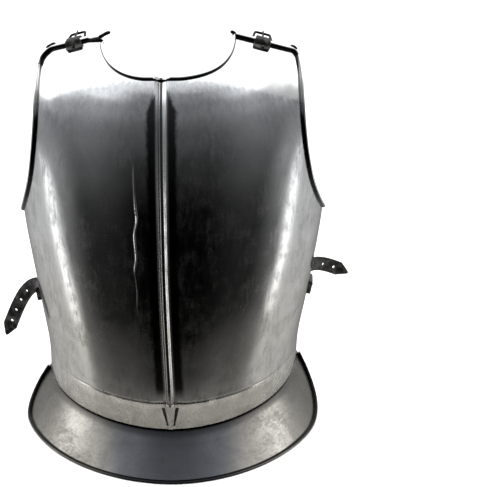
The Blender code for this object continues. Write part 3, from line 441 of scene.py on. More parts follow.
def addSteel(name, look):
    material, tree, shader, place = newMaterial(name)
    parts = node(tree, "ShaderNodeSeparateXYZ", {}, {0: place}).outputs
    high = parts[2]

    # smudges: broad clouds broken up by smears
    smudge = node(tree, "ShaderNodeTexNoise", {}, {
        "Vector": place, "Scale": 1 / look["smudgeSize"], "Detail": 3.0, "Roughness": 0.6,
        "Distortion": 0.8}).outputs["Fac"]
    smeared = node(tree, "ShaderNodeMapping", {}, {
        "Vector": place, "Scale": (1.0, 1.0, 1 / look["smearLength"])}).outputs[0]
    smear = node(tree, "ShaderNodeTexNoise", {}, {
        "Vector": smeared, "Scale": 1 / look["smearSize"], "Detail": 5.0, "Roughness": 0.72}).outputs["Fac"]
    both = node(tree, "ShaderNodeMath", times, {0: smudge, 1: smear}).outputs[0]
    dull = node(tree, "ShaderNodeMapRange", smooth, {
        "Value": both, "From Min": 0.11, "From Max": 0.43}).outputs[0]

    # level polishing lines and pits
    stretch = look["lineSpacing"] / look["lineLength"]
    level = node(tree, "ShaderNodeMapping", {}, {"Vector": place, "Scale": (stretch, stretch, 1.0)}).outputs[0]
    lines = node(tree, "ShaderNodeTexNoise", {}, {
        "Vector": level, "Scale": 1 / look["lineSpacing"], "Detail": 3.0, "Roughness": 0.6}).outputs["Fac"]
    pitNoise = node(tree, "ShaderNodeTexNoise", {}, {
        "Vector": place, "Scale": 1 / look["pitSpacing"], "Detail": 2.0, "Roughness": 0.5}).outputs["Fac"]
    pits = node(tree, "ShaderNodeMapRange", smooth, {
        "Value": pitNoise, "From Min": 0.735, "From Max": 0.79}).outputs[0]
    if look["bandTop"]:
        wiped = node(tree, "ShaderNodeMapRange", smooth, {
            "Value": high, "From Min": look["wipedHeights"][0], "From Max": look["wipedHeights"][1],
            "To Min": 1.0, "To Max": 0.25}).outputs[0]
        dull = node(tree, "ShaderNodeMath", times, {0: dull, 1: wiped}).outputs[0]
    shade = linearColour(look["bright"])
    for mask, colour in ((dull, "smudged"), (pits, "pitColour")):
        shade = node(tree, "ShaderNodeMix", colours, {
            0: mask, 6: shade, 7: linearColour(look[colour])}).outputs[2]
    lined = node(tree, "ShaderNodeMath", timesPlus, {0: lines, 1: 0.4, 2: dull}).outputs[0]
    rough = node(tree, "ShaderNodeMapRange", {}, {
        "Value": lined, "From Min": 0.2, "From Max": 1.2,
        "To Min": look["sharpest"], "To Max": look["dullest"]}).outputs[0]

    aside = node(tree, "ShaderNodeMath", times, {0: parts[0], 1: parts[0]}).outputs[0]
    metal = 1.0
    if look["bandTop"]:
        # above 0 on the outer face, below it on the inner one, which has none of the painted shade, dark
        # reflection or pale band
        centred = node(tree, "ShaderNodeVectorMath", {"operation": "SUBTRACT"}, {
            0: place, 1: (0.0, look["middle"], 0.0)}).outputs[0]
        spoke = node(tree, "ShaderNodeVectorMath", times, {0: centred, 1: (1.0, 1.0, 0.0)}).outputs[0]
        facing = node(tree, "ShaderNodeTexCoord").outputs["Normal"]
        outward = node(tree, "ShaderNodeVectorMath", {"operation": "DOT_PRODUCT"}, {
            0: spoke, 1: facing}).outputs[1]
        # the ragged upper edges of the painted shade below the ceiling's reflection and of the painted band
        rim = node(tree, "ShaderNodeMath", timesPlus, {0: aside, 1: look["reflectionEdgeDroop"], 2: high}).outputs[0]
        rim = node(tree, "ShaderNodeMath", timesPlus, {0: both, 1: 22 * mm, 2: rim}).outputs[0]
        ragged = node(tree, "ShaderNodeMath", timesPlus, {0: smudge, 1: 6 * mm, 2: high}).outputs[0]
        # distances from the crest of the ridge, which leans with the turned waist
        lean = node(tree, "ShaderNodeMapRange", smooth, {
            "Value": high, "From Min": 0.0, "From Max": plate["waistTurnTop"],
            "To Min": ridgeFoot, "To Max": ridgeTop}).outputs[0]
        fromCrest = node(tree, "ShaderNodeMath", {"operation": "SUBTRACT"}, {0: parts[0], 1: lean}).outputs[0]
        beside = node(tree, "ShaderNodeMath", {"operation": "ABSOLUTE"}, {0: fromCrest}).outputs[0]
        closing = node(tree, "ShaderNodeMapRange", {}, {
            "Value": high, "From Min": look["gutterTop"] - 16 * mm, "From Max": look["gutterTop"] + 12 * mm,
            "To Max": 13 * mm}).outputs[0]
        wander = node(tree, "ShaderNodeMath", timesPlus, {0: smear, 1: 7 * mm, 2: beside}).outputs[0]
        wander = node(tree, "ShaderNodeMath", {"operation": "ADD"}, {0: wander, 1: closing}).outputs[0]

        # each mask: what it follows, from where to where, and its strength at both ends
        masks = {}
        for mask, how, value, low, far, start, end in (
                ("outside", smooth, outward, -4 * mm, 4 * mm, 0.0, 1.0),
                ("oiled", smooth, high, *look["oiledHeights"], 1.0, 0.0),
                ("below", smooth, rim, look["reflectionEdge"] + 1 * mm, look["reflectionEdge"] + 7 * mm, 1.0, 0.0),
                ("fading", smooth, high, look["belowReflectionFoot"], look["reflectionEdge"] - 40 * mm, 0.0, 1.0),
                ("streaky", {}, smear, 0.3, 0.62, 1.0, 0.55),
                ("inner", smooth, beside, look["gutterFrom"] - 1.2 * mm, look["gutterFrom"] + 1.0 * mm, 0.0, 1.0),
                ("outer", smooth, wander, look["gutterTo"] + 0.5 * mm, look["gutterTo"] + 6 * mm, 0.92, 0.0),
                ("foot", smooth, high, look["bandTop"] + 6 * mm, look["bandTop"] + 26 * mm, 0.0, 1.0),
                ("crest", smooth, beside, *look["crestWidths"], 0.9, 0.0),
                ("leftSide", smooth, fromCrest, -1.6 * mm, 0.0, 0.6, 0.0),
                ("nearCrest", smooth, beside, *look["flankWidths"], 1.0, 0.0),
                ("low", smooth, ragged, look["bandTop"] + 1.5 * mm, look["bandTop"] + 5 * mm, 1.0, 0.0),
                ("inFront", smooth, aside, look["bandSides"][0] ** 2, look["bandSides"][1] ** 2, 1.0, 0.15),
                ("worn", {}, smear, 0.3, 0.65, 0.6, 1.0)):
            masks[mask] = node(tree, "ShaderNodeMapRange", how, {
                "Value": value, "From Min": low, "From Max": far, "To Min": start, "To Max": end}).outputs[0]
        # painted shade below the ceiling's reflection, painted dark reflection and shade beside and along the
        # ridge, and a painted pale floor reflection on the band, which is also rougher and less metallic
        for layer, first, others in (
                ("belowReflection", "below", ((times, "fading"), (times, "streaky"), (times, "outside"))),
                ("leftFlank", "leftSide", ((times, "nearCrest"),)),
                ("paintedDarkReflection", "inner", ((times, "outer"), (larger, "crest"), (larger, "leftFlank"),
                                    (times, "foot"), (times, "outside"))),
                ("band", "low", ((times, "inFront"), (times, "outside"), (times, "worn")))):
            product = masks[first]
            for how, other in others:
                product = node(tree, "ShaderNodeMath", how, {0: product, 1: masks[other]}).outputs[0]
            masks[layer] = product

        shade = node(tree, "ShaderNodeMix", {"data_type": "RGBA", "blend_type": "MULTIPLY"}, {
            0: masks["oiled"], 6: shade, 7: linearColour(look["warmed"])}).outputs[2]
        # painted pale floor reflection on the band, smeared where the steel is dull
        paintedFloorReflection = node(tree, "ShaderNodeMix", colours, {
            0: dull, 6: linearColour(look["bandPaintedReflection"]), 7: linearColour(look["bandPaintedReflectionSmeared"])}).outputs[2]
        for layer, colour in (("belowReflection", linearColour(look["belowReflectionShade"])), ("paintedDarkReflection", linearColour(look["paintedDarkReflection"])),
                              ("band", paintedFloorReflection)):
            shade = node(tree, "ShaderNodeMix", colours, {0: masks[layer], 6: shade, 7: colour}).outputs[2]
        rough = node(tree, "ShaderNodeMath", timesPlus, {0: masks["band"], 1: 0.16, 2: rough}).outputs[0]
        metal = node(tree, "ShaderNodeMapRange", {}, {
            "Value": masks["band"], "To Min": 1.0, "To Max": 0.40}).outputs[0]
    else:
        # painted dark blue-grey reflection across the flange's front, fading towards the sides
        wandering = node(tree, "ShaderNodeMath", timesPlus, {
            0: smear, 1: look["frontReflectionWander"] ** 2, 2: aside}).outputs[0]
        frontReflectionMask = node(tree, "ShaderNodeMapRange", smooth, {
            "Value": wandering, "From Min": look["frontReflectionSides"][0] ** 2,
            "From Max": look["frontReflectionSides"][1] ** 2, "To Min": 0.92, "To Max": 0.0}).outputs[0]
        shade = node(tree, "ShaderNodeMix", colours, {
            0: frontReflectionMask, 6: shade, 7: linearColour(look["paintedFrontReflection"])}).outputs[2]
    # painted shade, near black, along the rolled beads, in the slits and under the plate's edge at the seam
    paintedShadeMask = node(tree, "ShaderNodeAttribute", {"attribute_name": "paintedShade"}).outputs["Fac"]
    paintedShadeMask = node(tree, "ShaderNodeMapRange", smooth, {
        "Value": paintedShadeMask, "From Min": 0.45, "From Max": 0.85, "To Max": 0.96}).outputs[0]
    shade = node(tree, "ShaderNodeMix", colours, {
        0: paintedShadeMask, 6: shade, 7: linearColour(look["blackeningAndPaintedShade"])}).outputs[2]
    raised = node(tree, "ShaderNodeMath", timesPlus, {0: pits, 1: -1.5, 2: lines}).outputs[0]
    bump = node(tree, "ShaderNodeBump", {}, {
        "Strength": 0.22, "Distance": look["relief"], "Height": raised}).outputs[0]
    join(tree, shader, {"Base Color": shade, "Roughness": rough, "Normal": bump, "Metallic": metal})
    return material


# Vegetable-tanned leather, dyed black through and burnished: near black with a faint grey bloom on
# the worn face, pebbled grain and a soft waxed shine
waxedLeather = {
    "dye": "0f0e0e",
    "bloom": "413f3d",
    "sharpest": 0.36,
    "dullest": 0.62,
    "grainSize": 1.2 * mm,
    "foldSize": 8 * mm,
    "relief": 0.22 * mm,
}


def addLeather(name, look):
    material, tree, shader, place = newMaterial(name)
    grain = node(tree, "ShaderNodeTexVoronoi", {"feature": "SMOOTH_F1"}, {
        "Vector": place, "Scale": 1 / look["grainSize"], "Smoothness": 0.6}).outputs["Distance"]
    folds = node(tree, "ShaderNodeTexNoise", {}, {
        "Vector": place, "Scale": 1 / look["foldSize"], "Detail": 4.0, "Roughness": 0.6}).outputs["Fac"]
    bloom = node(tree, "ShaderNodeMapRange", smooth, {
        "Value": folds, "From Min": 0.42, "From Max": 0.72}).outputs[0]
    shade = node(tree, "ShaderNodeMix", colours, {
        0: bloom, 6: linearColour(look["dye"]), 7: linearColour(look["bloom"])}).outputs[2]
    rough = node(tree, "ShaderNodeMapRange", {}, {
        "Value": bloom, "To Min": look["sharpest"], "To Max": look["dullest"]}).outputs[0]
    raised = node(tree, "ShaderNodeMath", timesPlus, {0: grain, 1: 0.6, 2: folds}).outputs[0]
    bump = node(tree, "ShaderNodeBump", {}, {
        "Strength": 0.5, "Distance": look["relief"], "Height": raised}).outputs[0]
    join(tree, shader, {"Base Color": shade, "Roughness": rough, "Normal": bump})
    return material


# Drawn steel wire, oil-blackened: near black with a dull shine, rubbed to grey in small spots
blackSteel = {
    "blackeningAndPaintedShade": "17181a",
    "rubbedAndUnshaded": "63666a",
    "sharpest": 0.26,
    "dullest": 0.46,
    "spotSize": 4 * mm,
    "relief": 0.08 * mm,
}


def addBlackSteel(name, look):
    material, tree, shader, place = newMaterial(name)
    spots = node(tree, "ShaderNodeTexNoise", {}, {
        "Vector": place, "Scale": 1 / look["spotSize"], "Detail": 3.0, "Roughness": 0.6}).outputs["Fac"]
    rubbedAndUnshaded = node(tree, "ShaderNodeMapRange", smooth, {
        "Value": spots, "From Min": 0.52, "From Max": 0.74}).outputs[0]
    shade = node(tree, "ShaderNodeMix", colours, {
        0: rubbedAndUnshaded, 6: linearColour(look["blackeningAndPaintedShade"]), 7: linearColour(look["rubbedAndUnshaded"])}).outputs[2]
    rough = node(tree, "ShaderNodeMapRange", {}, {
        "Value": rubbedAndUnshaded, "To Min": look["dullest"], "To Max": look["sharpest"]}).outputs[0]
    bump = node(tree, "ShaderNodeBump", {}, {
        "Strength": 0.3, "Distance": look["relief"], "Height": spots}).outputs[0]
    join(tree, shader, {"Base Color": shade, "Roughness": rough, "Normal": bump, "Metallic": 1.0})
    return material

# The long crease left of the ridge: height in mm, its place across in mm, and how sharp it stands there
creaseLine = (
    (226, -37.2, 0.0),
    (240, -37.0, 0.5),
    (260, -36.6, 0.6),
    (274, -37.6, 0.6),
    (288, -38.9, 0.8),
    (299, -36.8, 1.0),
    (316, -37.6, 1.0),
    (330, -38.1, 1.0),
    (346, -34.9, 1.0),
    (361, -36.0, 0.9),
    (376, -36.6, 0.5),
    (394, -37.0, 0.4),
    (412, -37.2, 0.0),
)
plateGrid = {
    "ribColumns": 24,
    "creaseFrom": 0.115,
    "creaseTo": 0.190,
    "creaseColumns": 34,
    "neckColumns": 34,
    "shoulderColumns": 44,
    "bandRows": 46,
    "sideRows": 56,
    "upperRows": 74,
    "creaseHalfWidth": 1.9 * mm,
    "creaseHeight": 1.5 * mm,
    "grooveHeight": 99.5 * mm,
    "grooveHalfWidth": 2.4 * mm,
    "grooveDepth": 0.5 * mm,
    "slitFoot": 58 * mm,
    "slitTop": 91 * mm,
    "slitEdges": ((2.3 * mm, 4.9 * mm), (6.0 * mm, 12.2 * mm)),
    "slitDepth": 1.0 * mm,
    "paintedShadeTo": 2.15,  # painted shade lies on the bead from the sheet up to this angle and is lifted beside the shoulder tips, from and to these heights and places aside
    # and is rubbed off beside the shoulder tips, from and to these heights and places aside
    "unshadedHeights": (435 * mm, 470 * mm),
    "unshadedPlaces": (147 * mm, 155 * mm),
}


def plateColumns():  # close together at the ridge, along the crease and at the neck corners
    g = plateGrid
    rib = plate["ribZone"] * np.linspace(0, 1, g["ribColumns"]) ** 0.9
    reach = plate["neckShare"] - plate["ribZone"]
    neck = plate["neckShare"] - reach * np.linspace(1, 0, g["neckColumns"]) ** 1.5
    shoulder = np.linspace(plate["neckShare"], 1, g["shoulderColumns"])
    half = np.unique(np.round(np.concatenate([rib, neck, shoulder]), 6))
    creased = np.linspace(g["creaseFrom"], g["creaseTo"], g["creaseColumns"])
    left = half[(half < g["creaseFrom"] - 0.002) | (half > g["creaseTo"] + 0.002)]
    left = np.sort(np.concatenate([left, creased]))
    return np.concatenate([-left[::-1], half[1:]])


def plateRows():
    g = plateGrid
    top = float(bandTop(1.0))
    armhole = (armholeBottom - top) / (tipHeight - top)
    band = np.linspace(-1, 0, g["bandRows"], endpoint=False)
    side = np.linspace(0, armhole, g["sideRows"], endpoint=False)
    upper = armhole + (1 - armhole) * np.sin(np.linspace(0, math.pi / 2, g["upperRows"]))
    return np.concatenate([band, side, upper])


def hammered(grid, marks, seed=1):  # soft unevenness of a hand-planished sheet, along its own normals
    normals = gridNormals(grid)
    lift = sum(height * softNoise(grid, lump, seed + k) for k, (lump, height) in enumerate(marks))
    return grid + normals * lift[..., None]


def makePlate():
    g, columns = plateGrid, plateColumns()
    grid = platePoint(columns[:, None], plateRows()[None, :])
    z = grid[..., 2]
    away = np.abs(grid[..., 0] - through(creaseLine, 1, z / mm) * mm) / g["creaseHalfWidth"]
    crease = g["creaseHeight"] * np.clip(through(creaseLine, 2, z / mm), 0, 1) * hump(away)
    grid = hammered(grid, plate["hammer"])
    grid[..., 1] -= crease
    groove = g["grooveDepth"] * hump(np.abs(z - g["grooveHeight"]) / g["grooveHalfWidth"])
    grid = grid - gridNormals(grid) * groove[..., None]
    # the two slits that close in on the ridge's foot
    beside = np.abs(columns)[:, None] / plate["ribZone"] * ribZoneHalfWidth
    upSlit = (z - g["slitFoot"]) / (g["slitTop"] - g["slitFoot"])
    innerEdge, outerEdge = (low + (high - low) * np.clip(upSlit, 0, 1) for low, high in g["slitEdges"])
    slit = np.sin(math.pi * np.clip((beside - innerEdge) / (outerEdge - innerEdge), 0, 1)) ** 2
    slit = slit * ease(-0.08, 0.06, upSlit) * (1 - ease(0.94, 1.08, upSlit))
    grid = grid - gridNormals(grid) * (g["slitDepth"] * slit)[..., None]
    beyondNeck = np.abs(columns) > plate["neckShare"] + 1e-6
    fade = plate["armholeRollFade"] / 2
    radii = []
    for i, j in borderLoop(*grid.shape[:2]):
        if j < grid.shape[1] - 1:
            above = grid[i, j, 2] - armholeBottom
            radii.append(plate["armholeRoll"] * float(ease(-fade, fade, above)))
        else:
            radii.append(plate["shoulderRoll"] if beyondNeck[i] else plate["neckRoll"])
    # painted shade in the slits and on the bead, lifted beside the shoulder tips
    vertices, faces, paintedShade = sheetMesh(grid, plate["thickness"], radii, plate["rimSegments"],
                                      np.clip(1.9 * slit, 0, 1), g["paintedShadeTo"])
    rubbedAndUnshaded = ease(*g["unshadedHeights"], vertices[:, 2]) * ease(*g["unshadedPlaces"], np.abs(vertices[:, 0]))
    return vertices, faces, paintedShade * (1 - rubbedAndUnshaded)


ridgeTop = float(rootShift[0] + plate["ribShift"])
ridgeFoot = float(ridgeTop + math.sin(plate["waistTurn"]) * plate["chestDepth"] / 2)
plateSteel = ("polished_steel", addSteel("buffedPlateSteel", polishedSteel))
skirtSteel = ("polished_steel", addSteel("buffedFlangeSteel", flangeSteel))
leather = ("black_leather", addLeather("waxedBlackLeather", waxedLeather))
blackened = ("blackened_steel", addBlackSteel("oilBlackenedSteel", blackSteel))
print("materials made")
addMesh("steel_chest_plate", makePlate(), "breastplate", plateSteel, "breast_plate")

# The flared flange with its rolled standing edge
flange = {
    "gap": 0.5 * mm,
    "thickness": 1.5 * mm,
    "tuck": 10 * mm,
    "frontReach": 44 * mm,
    "sideReach": (36 * mm, 33 * mm),
    "endShare": 0.14,
    "endStartLeft": 0.80,
    "endStartRight": 0.66,
    "roll": 2.75 * mm,
    "standingFlat": 1.1 * mm,
    "columns": 260,
    "columnCrowding": 1.12,
    "rows": 44,
    "tuckRows": 8,
    "rimSegments": 16,
    "hammer": ((38 * mm, 0.20 * mm), (15 * mm, 0.04 * mm)),
    # rows of painted shadow under the plate's edge, then the angle up to which painted shade lies on the bead
    "paintedShadowRows": 4,
    "paintedShadeTo": 1.55,
}

# Drop and reach shares of the flange's profile below the seam
flangeProfile = (
    (0.00, 0.00),
    (0.07, 0.00),
    (0.18, 0.07),
    (0.36, 0.25),
    (0.60, 0.52),
    (0.82, 0.78),
    (1.00, 1.00),
)


def flangeFade(across):
    start = np.where(across < 0, flange["endStartLeft"], flange["endStartRight"])
    t = np.clip((np.abs(across) - start) / (1 - start), 0, 1)
    return flange["endShare"] + (1 - flange["endShare"]) * np.sqrt(1 - t ** 2)


def flatFront(across, up):  # the plate's face as it would be without its ridge
    points = platePoint(across, up).copy()
    x = np.abs(across) / plate["ribZone"] * ribZoneHalfWidth
    bump = ribBump(x, points[..., 2] - seamLine(across))
    points[..., 1] += np.where(np.abs(across) < plate["ribZone"], bump, 0.0)
    return points


def makeFlange():
    f = flange
    across = np.linspace(-1, 1, f["columns"] + 1)
    across = across * (f["columnCrowding"] - (f["columnCrowding"] - 1) * across ** 2)
    rows = []
    for place in np.linspace(1, 0, f["tuckRows"]):
        up = place * f["tuck"] / plate["bandHeight"] - 1
        rows.append(flatFront(across, up) - plateNormal(across, up) * (plate["thickness"] + f["gap"]))
    seam = rows[-1]
    run = flatFront(np.minimum(across + 1e-3, 1), -1.0) - flatFront(np.maximum(across - 1e-3, -1), -1.0)
    level = unit(np.stack([run[:, 1], -run[:, 0], 0 * run[:, 0]], -1))
    fade = flangeFade(across)
    sideReach = np.where(across < 0, f["sideReach"][0], f["sideReach"][1])
    reach = f["frontReach"] + (sideReach - f["frontReach"]) * across ** 2
    fall, out = (1 - flangeProfile[-2][0]) * plate["seamHeight"], (1 - flangeProfile[-2][1]) * f["frontReach"]
    edgeLift = (f["roll"] - f["thickness"]) * out / math.hypot(fall, out)
    drop = seam[:, 2] - (f["roll"] - f["standingFlat"] - edgeLift)
    for share in np.linspace(0, 1, f["rows"] + 1)[1:]:
        shareOut = float(through(flangeProfile, 1, np.array(share)))
        rows.append(seam + level * (reach * fade * shareOut)[:, None]
                    - np.array([0, 0, 1]) * (drop * fade * share)[:, None])
    rows.reverse()
    grid = hammered(np.stack(rows, 1), f["hammer"], 5)
    radii = [f["roll"] if j == 0 else 0.0 for i, j in borderLoop(*grid.shape[:2])]
    # painted shadow under the plate's edge along the seam
    underSeam = np.zeros(grid.shape[:2])
    underSeam[:, f["rows"] - f["paintedShadowRows"]:] = 1
    return sheetMesh(grid, f["thickness"], radii, f["rimSegments"], underSeam, f["paintedShadeTo"], lowest=0.0)


addMesh("steel_waist_skirt", makeFlange(), "breastplate", skirtSteel, "waist_flange")


# Where a shoulder's tab crosses the rolled edge and where its buckle's bar lies
buckle = {
    "tabPlace": 0.40,
    "gap": 0.3 * mm,
    "clearance": 0.3 * mm,
    "leather": 2.2 * mm,
    "leatherGap": 0.48 * mm,
    "barRadius": 1.5 * mm,
    "barLength": 22.5 * mm,
    "corner": 3 * mm,
    "farShare": 0.78,
    "reach": 18 * mm,
    "standOff": 0.4 * mm,
    "lift": math.radians(10),
    "prongRadius": 1.1 * mm,
    "prongOverrun": 2.5 * mm,
    "wrapStart": math.radians(-28),
    "wrapTurn": math.radians(242),
    "wrapSteps": 40,
    "prongSteps": 24,
    "wireSides": 24,
    "cornerSteps": 9,
    "sideSteps": 12,
}


def buckleLayout(side):
    across = side * (plate["neckShare"] + (1 - plate["neckShare"]) * buckle["tabPlace"])
    edge = platePoint(across, 1.0)
    along = unit(platePoint(across + side * 1e-3, 1.0) - platePoint(across - side * 1e-3, 1.0))
    normal = plateNormal(across, 1.0)
    normal = unit(normal - along * np.dot(normal, along))
    onward = np.cross(along, normal)
    onward = onward * np.sign(onward[2])
    back = np.array([0.0, 1.0, 0.0])
    back = unit(back - along * np.dot(back, along))
    up = np.cross(along, back)
    up = up * np.sign(up[2])
    roll = edge + normal * (plate["shoulderRoll"] - plate["thickness"])
    loopOuter = buckle["barRadius"] + buckle["clearance"] + buckle["leather"]
    bar = roll + back * (plate["shoulderRoll"] + buckle["gap"] + loopOuter + buckle["standOff"])
    lift = buckle["lift"]
    return {"across": across, "along": along, "normal": normal, "onward": onward, "roll": roll,
            "back": back, "up": up, "bar": bar,
            "frameBack": back * math.cos(lift) + up * math.sin(lift),
            "frameUp": up * math.cos(lift) - back * math.sin(lift)}


def sweptMesh(path, sections, closed):  # rings of points along a path; sections give each ring's offsets
    vertices = np.concatenate([np.asarray(point) + ring for point, ring in zip(path, sections)])
    count, sides = len(path), len(sections[0])
    faces = []
    for index in range(count if closed else count - 1):
        here, there = index * sides, ((index + 1) % count) * sides
        for k in range(sides):
            following = (k + 1) % sides
            faces.append((here + k, here + following, there + following, there + k))
    if not closed:
        faces.append(tuple(range(sides)))
        faces.append(tuple(range((count - 1) * sides, count * sides)))
    return vertices, faces


def roundRod(path, radii, closed, across, sides):  # a rod of round section along a path
    path = np.array(path)
    sections = []
    for index in range(len(path)):
        ahead = path[(index + 1) % len(path)] if closed or index < len(path) - 1 else path[index]
        behind = path[index - 1] if closed or index > 0 else path[index]
        way = unit(ahead - behind)
        first = unit(across - way * np.dot(across, way))
        second = np.cross(way, first)
        turn = np.linspace(0, 2 * math.pi, sides, endpoint=False)[:, None]
        sections.append(radii[index] * (first * np.cos(turn) + second * np.sin(turn)))
    return sweptMesh(path, sections, closed)


def ovalEnds(path, radii, steps=5):  # rounds the ends of an open rod
    path, radii = list(path), list(radii)
    first, last = unit(path[0] - path[1]), unit(path[-1] - path[-2])
    angles = np.linspace(0, math.pi / 2, steps + 1)[1:] * 0.985
    startPath = [path[0] + first * radii[0] * math.sin(a) for a in angles[::-1]]
    endPath = [path[-1] + last * radii[-1] * math.sin(a) for a in angles]
    return (startPath + path + endPath,
            [radii[0] * math.cos(a) for a in angles[::-1]] + radii + [radii[-1] * math.cos(a) for a in angles])


def makeFrame(layout):  # trapezoid of round wire with smoothly bent corners
    b = buckle
    near, far = b["barLength"] / 2, b["barLength"] / 2 * b["farShare"]
    corners = np.array([(-near, 0.0), (near, 0.0), (far, b["reach"]), (-far, b["reach"])])
    flat = []
    for k in range(4):
        here, before, after = corners[k], corners[k - 1], corners[(k + 1) % 4]
        start = here + unit(before - here) * b["corner"]
        end = here + unit(after - here) * b["corner"]
        for t in np.linspace(0, 1, b["cornerSteps"]):
            flat.append((1 - t) ** 2 * start + 2 * t * (1 - t) * here + t * t * end)
        following = after + unit(here - after) * b["corner"]
        for t in np.linspace(0, 1, b["sideSteps"])[1:-1]:
            flat.append(end + (following - end) * t)
    points = [layout["bar"] + layout["along"] * p[0] + layout["frameBack"] * p[1] for p in flat]
    return roundRod(points, [b["barRadius"]] * len(points), True, layout["frameUp"], b["wireSides"])


def makeProng(layout):  # wire eye round the bar, then a straight tapered prong
    b = buckle
    wrap = b["barRadius"] + b["clearance"] + b["prongRadius"]
    flat, radii = [], []
    for angle in np.linspace(b["wrapStart"], b["wrapStart"] - b["wrapTurn"], b["wrapSteps"]):
        flat.append((wrap * math.cos(angle), wrap * math.sin(angle)))
        radii.append(b["prongRadius"])
    length = b["reach"] + b["prongOverrun"]
    for share in np.linspace(0.08, 1, b["prongSteps"]):
        flat.append((length * share - 0.5 * b["prongRadius"] * share, wrap))
        radii.append(b["prongRadius"] * float(np.interp(share, (0, 0.45, 0.85, 1), (1, 1, 0.85, 0.5))))
    points = [layout["bar"] + layout["frameBack"] * p[0] + layout["frameUp"] * p[1] for p in flat]
    points, radii = ovalEnds(points, radii)
    return roundRod(points, radii, False, layout["along"], b["wireSides"])


# Leather: how a cut edge is rounded, and the pressed line beside it
cutEdge = {
    "round": 0.8 * mm,
    "lineFrom": 2.3 * mm,
    "lineWidth": 0.55 * mm,
    "lineDepth": 0.28 * mm,
    "crown": 0.12 * mm,
}


def leatherSection(halfWidth, thickness):  # outline across a strap: sideways and lift of each point
    c = cutEdge
    half = thickness / 2
    corner = min(c["round"], half, halfWidth * 0.6)
    inset = min(1.0, halfWidth / (c["lineFrom"] * 1.6))
    marks = np.array([0.0, c["lineFrom"] - c["lineWidth"], c["lineFrom"], c["lineFrom"] + c["lineWidth"]]) * inset
    depth = np.array([0.0, 0.0, c["lineDepth"], 0.0]) * inset
    top = []
    for angle in np.linspace(0, math.pi / 2, 6):
        top.append((halfWidth - corner + corner * math.cos(angle), half - corner + corner * math.sin(angle)))
    for mark, sunk in zip(marks[1:], depth[1:]):
        top.append((halfWidth - max(mark, corner * 1.05), half - sunk))
    inner = top[-1][0]
    for share in (0.66, 0.33, 0.0):
        top.append((inner * share, half + c["crown"] * (1 - share ** 2) * inset))
    upper = top + [(-x, y) for x, y in reversed(top[:-1])]
    return np.array(upper + [(x, -y) for x, y in reversed(upper)])


def cornered(halfWidths, spots, corner):  # rounds the corners of a strip's first end
    lead = np.clip(spots / corner, 0, 1)
    return halfWidths - corner * (1 - np.sqrt(1 - (1 - lead) ** 2))


# Sweeps the section through place(distance, sideways, lift)
def leatherStrip(place, spots, halfWidths, thicknesses):
    rings = []
    for spot, halfWidth, thickness in zip(spots, halfWidths, thicknesses):
        section = leatherSection(halfWidth, thickness)
        rings.append(np.array([place(spot, sideways, lift) for sideways, lift in section]))
    return sweptMesh([np.zeros(3)] * len(rings), rings, False)


def cutAway(piece, cutters):  # cuts holes with guide solids that are then removed
    bpy.context.view_layer.update()
    for cutter in cutters:
        change = piece.modifiers.new("cut", "BOOLEAN")
        change.operation = "DIFFERENCE"
        change.solver = "EXACT"
        change.object = cutter
    bpy.context.view_layer.update()
    cut = bpy.data.meshes.new_from_object(piece.evaluated_get(bpy.context.evaluated_depsgraph_get()))
    piece.modifiers.clear()
    piece.data = cut
    cut.set_sharp_from_angle(angle=sharpAngle)
    for cutter in cutters:
        bpy.data.objects.remove(cutter)


def guideSolid(vertices, faces):
    return linked("guide", solidMesh("guide", vertices, faces, strap["holeSides"]))


def surfaceBelow(layout, distance):  # point and normal of the plate below the shoulder's edge
    across = layout["across"]
    tall = topHeight(across) - bandTop(across)
    up = 1.0 - distance * layout["onward"][2] / tall
    return platePoint(across, up), plateNormal(across, up)


# Leather tab: over the plate's top, over the roll and round the buckle's bar, slotted for the prong
tab = {
    "width": 19.5 * mm,
    "loopWidth": 15.4 * mm,
    "run": 11 * mm,
    "lastFlat": 0.47,
    "rivetShare": 0.75,
    "rollStart": math.radians(38),
    "rollEnd": math.radians(62),
    "loopStart": math.radians(78),
    "loopTurn": math.radians(262),
    "slotHalf": 2.7 * mm,
    "slotReach": 30 * mm,
    "slotTall": 20 * mm,
    "corner": 2 * mm,
}


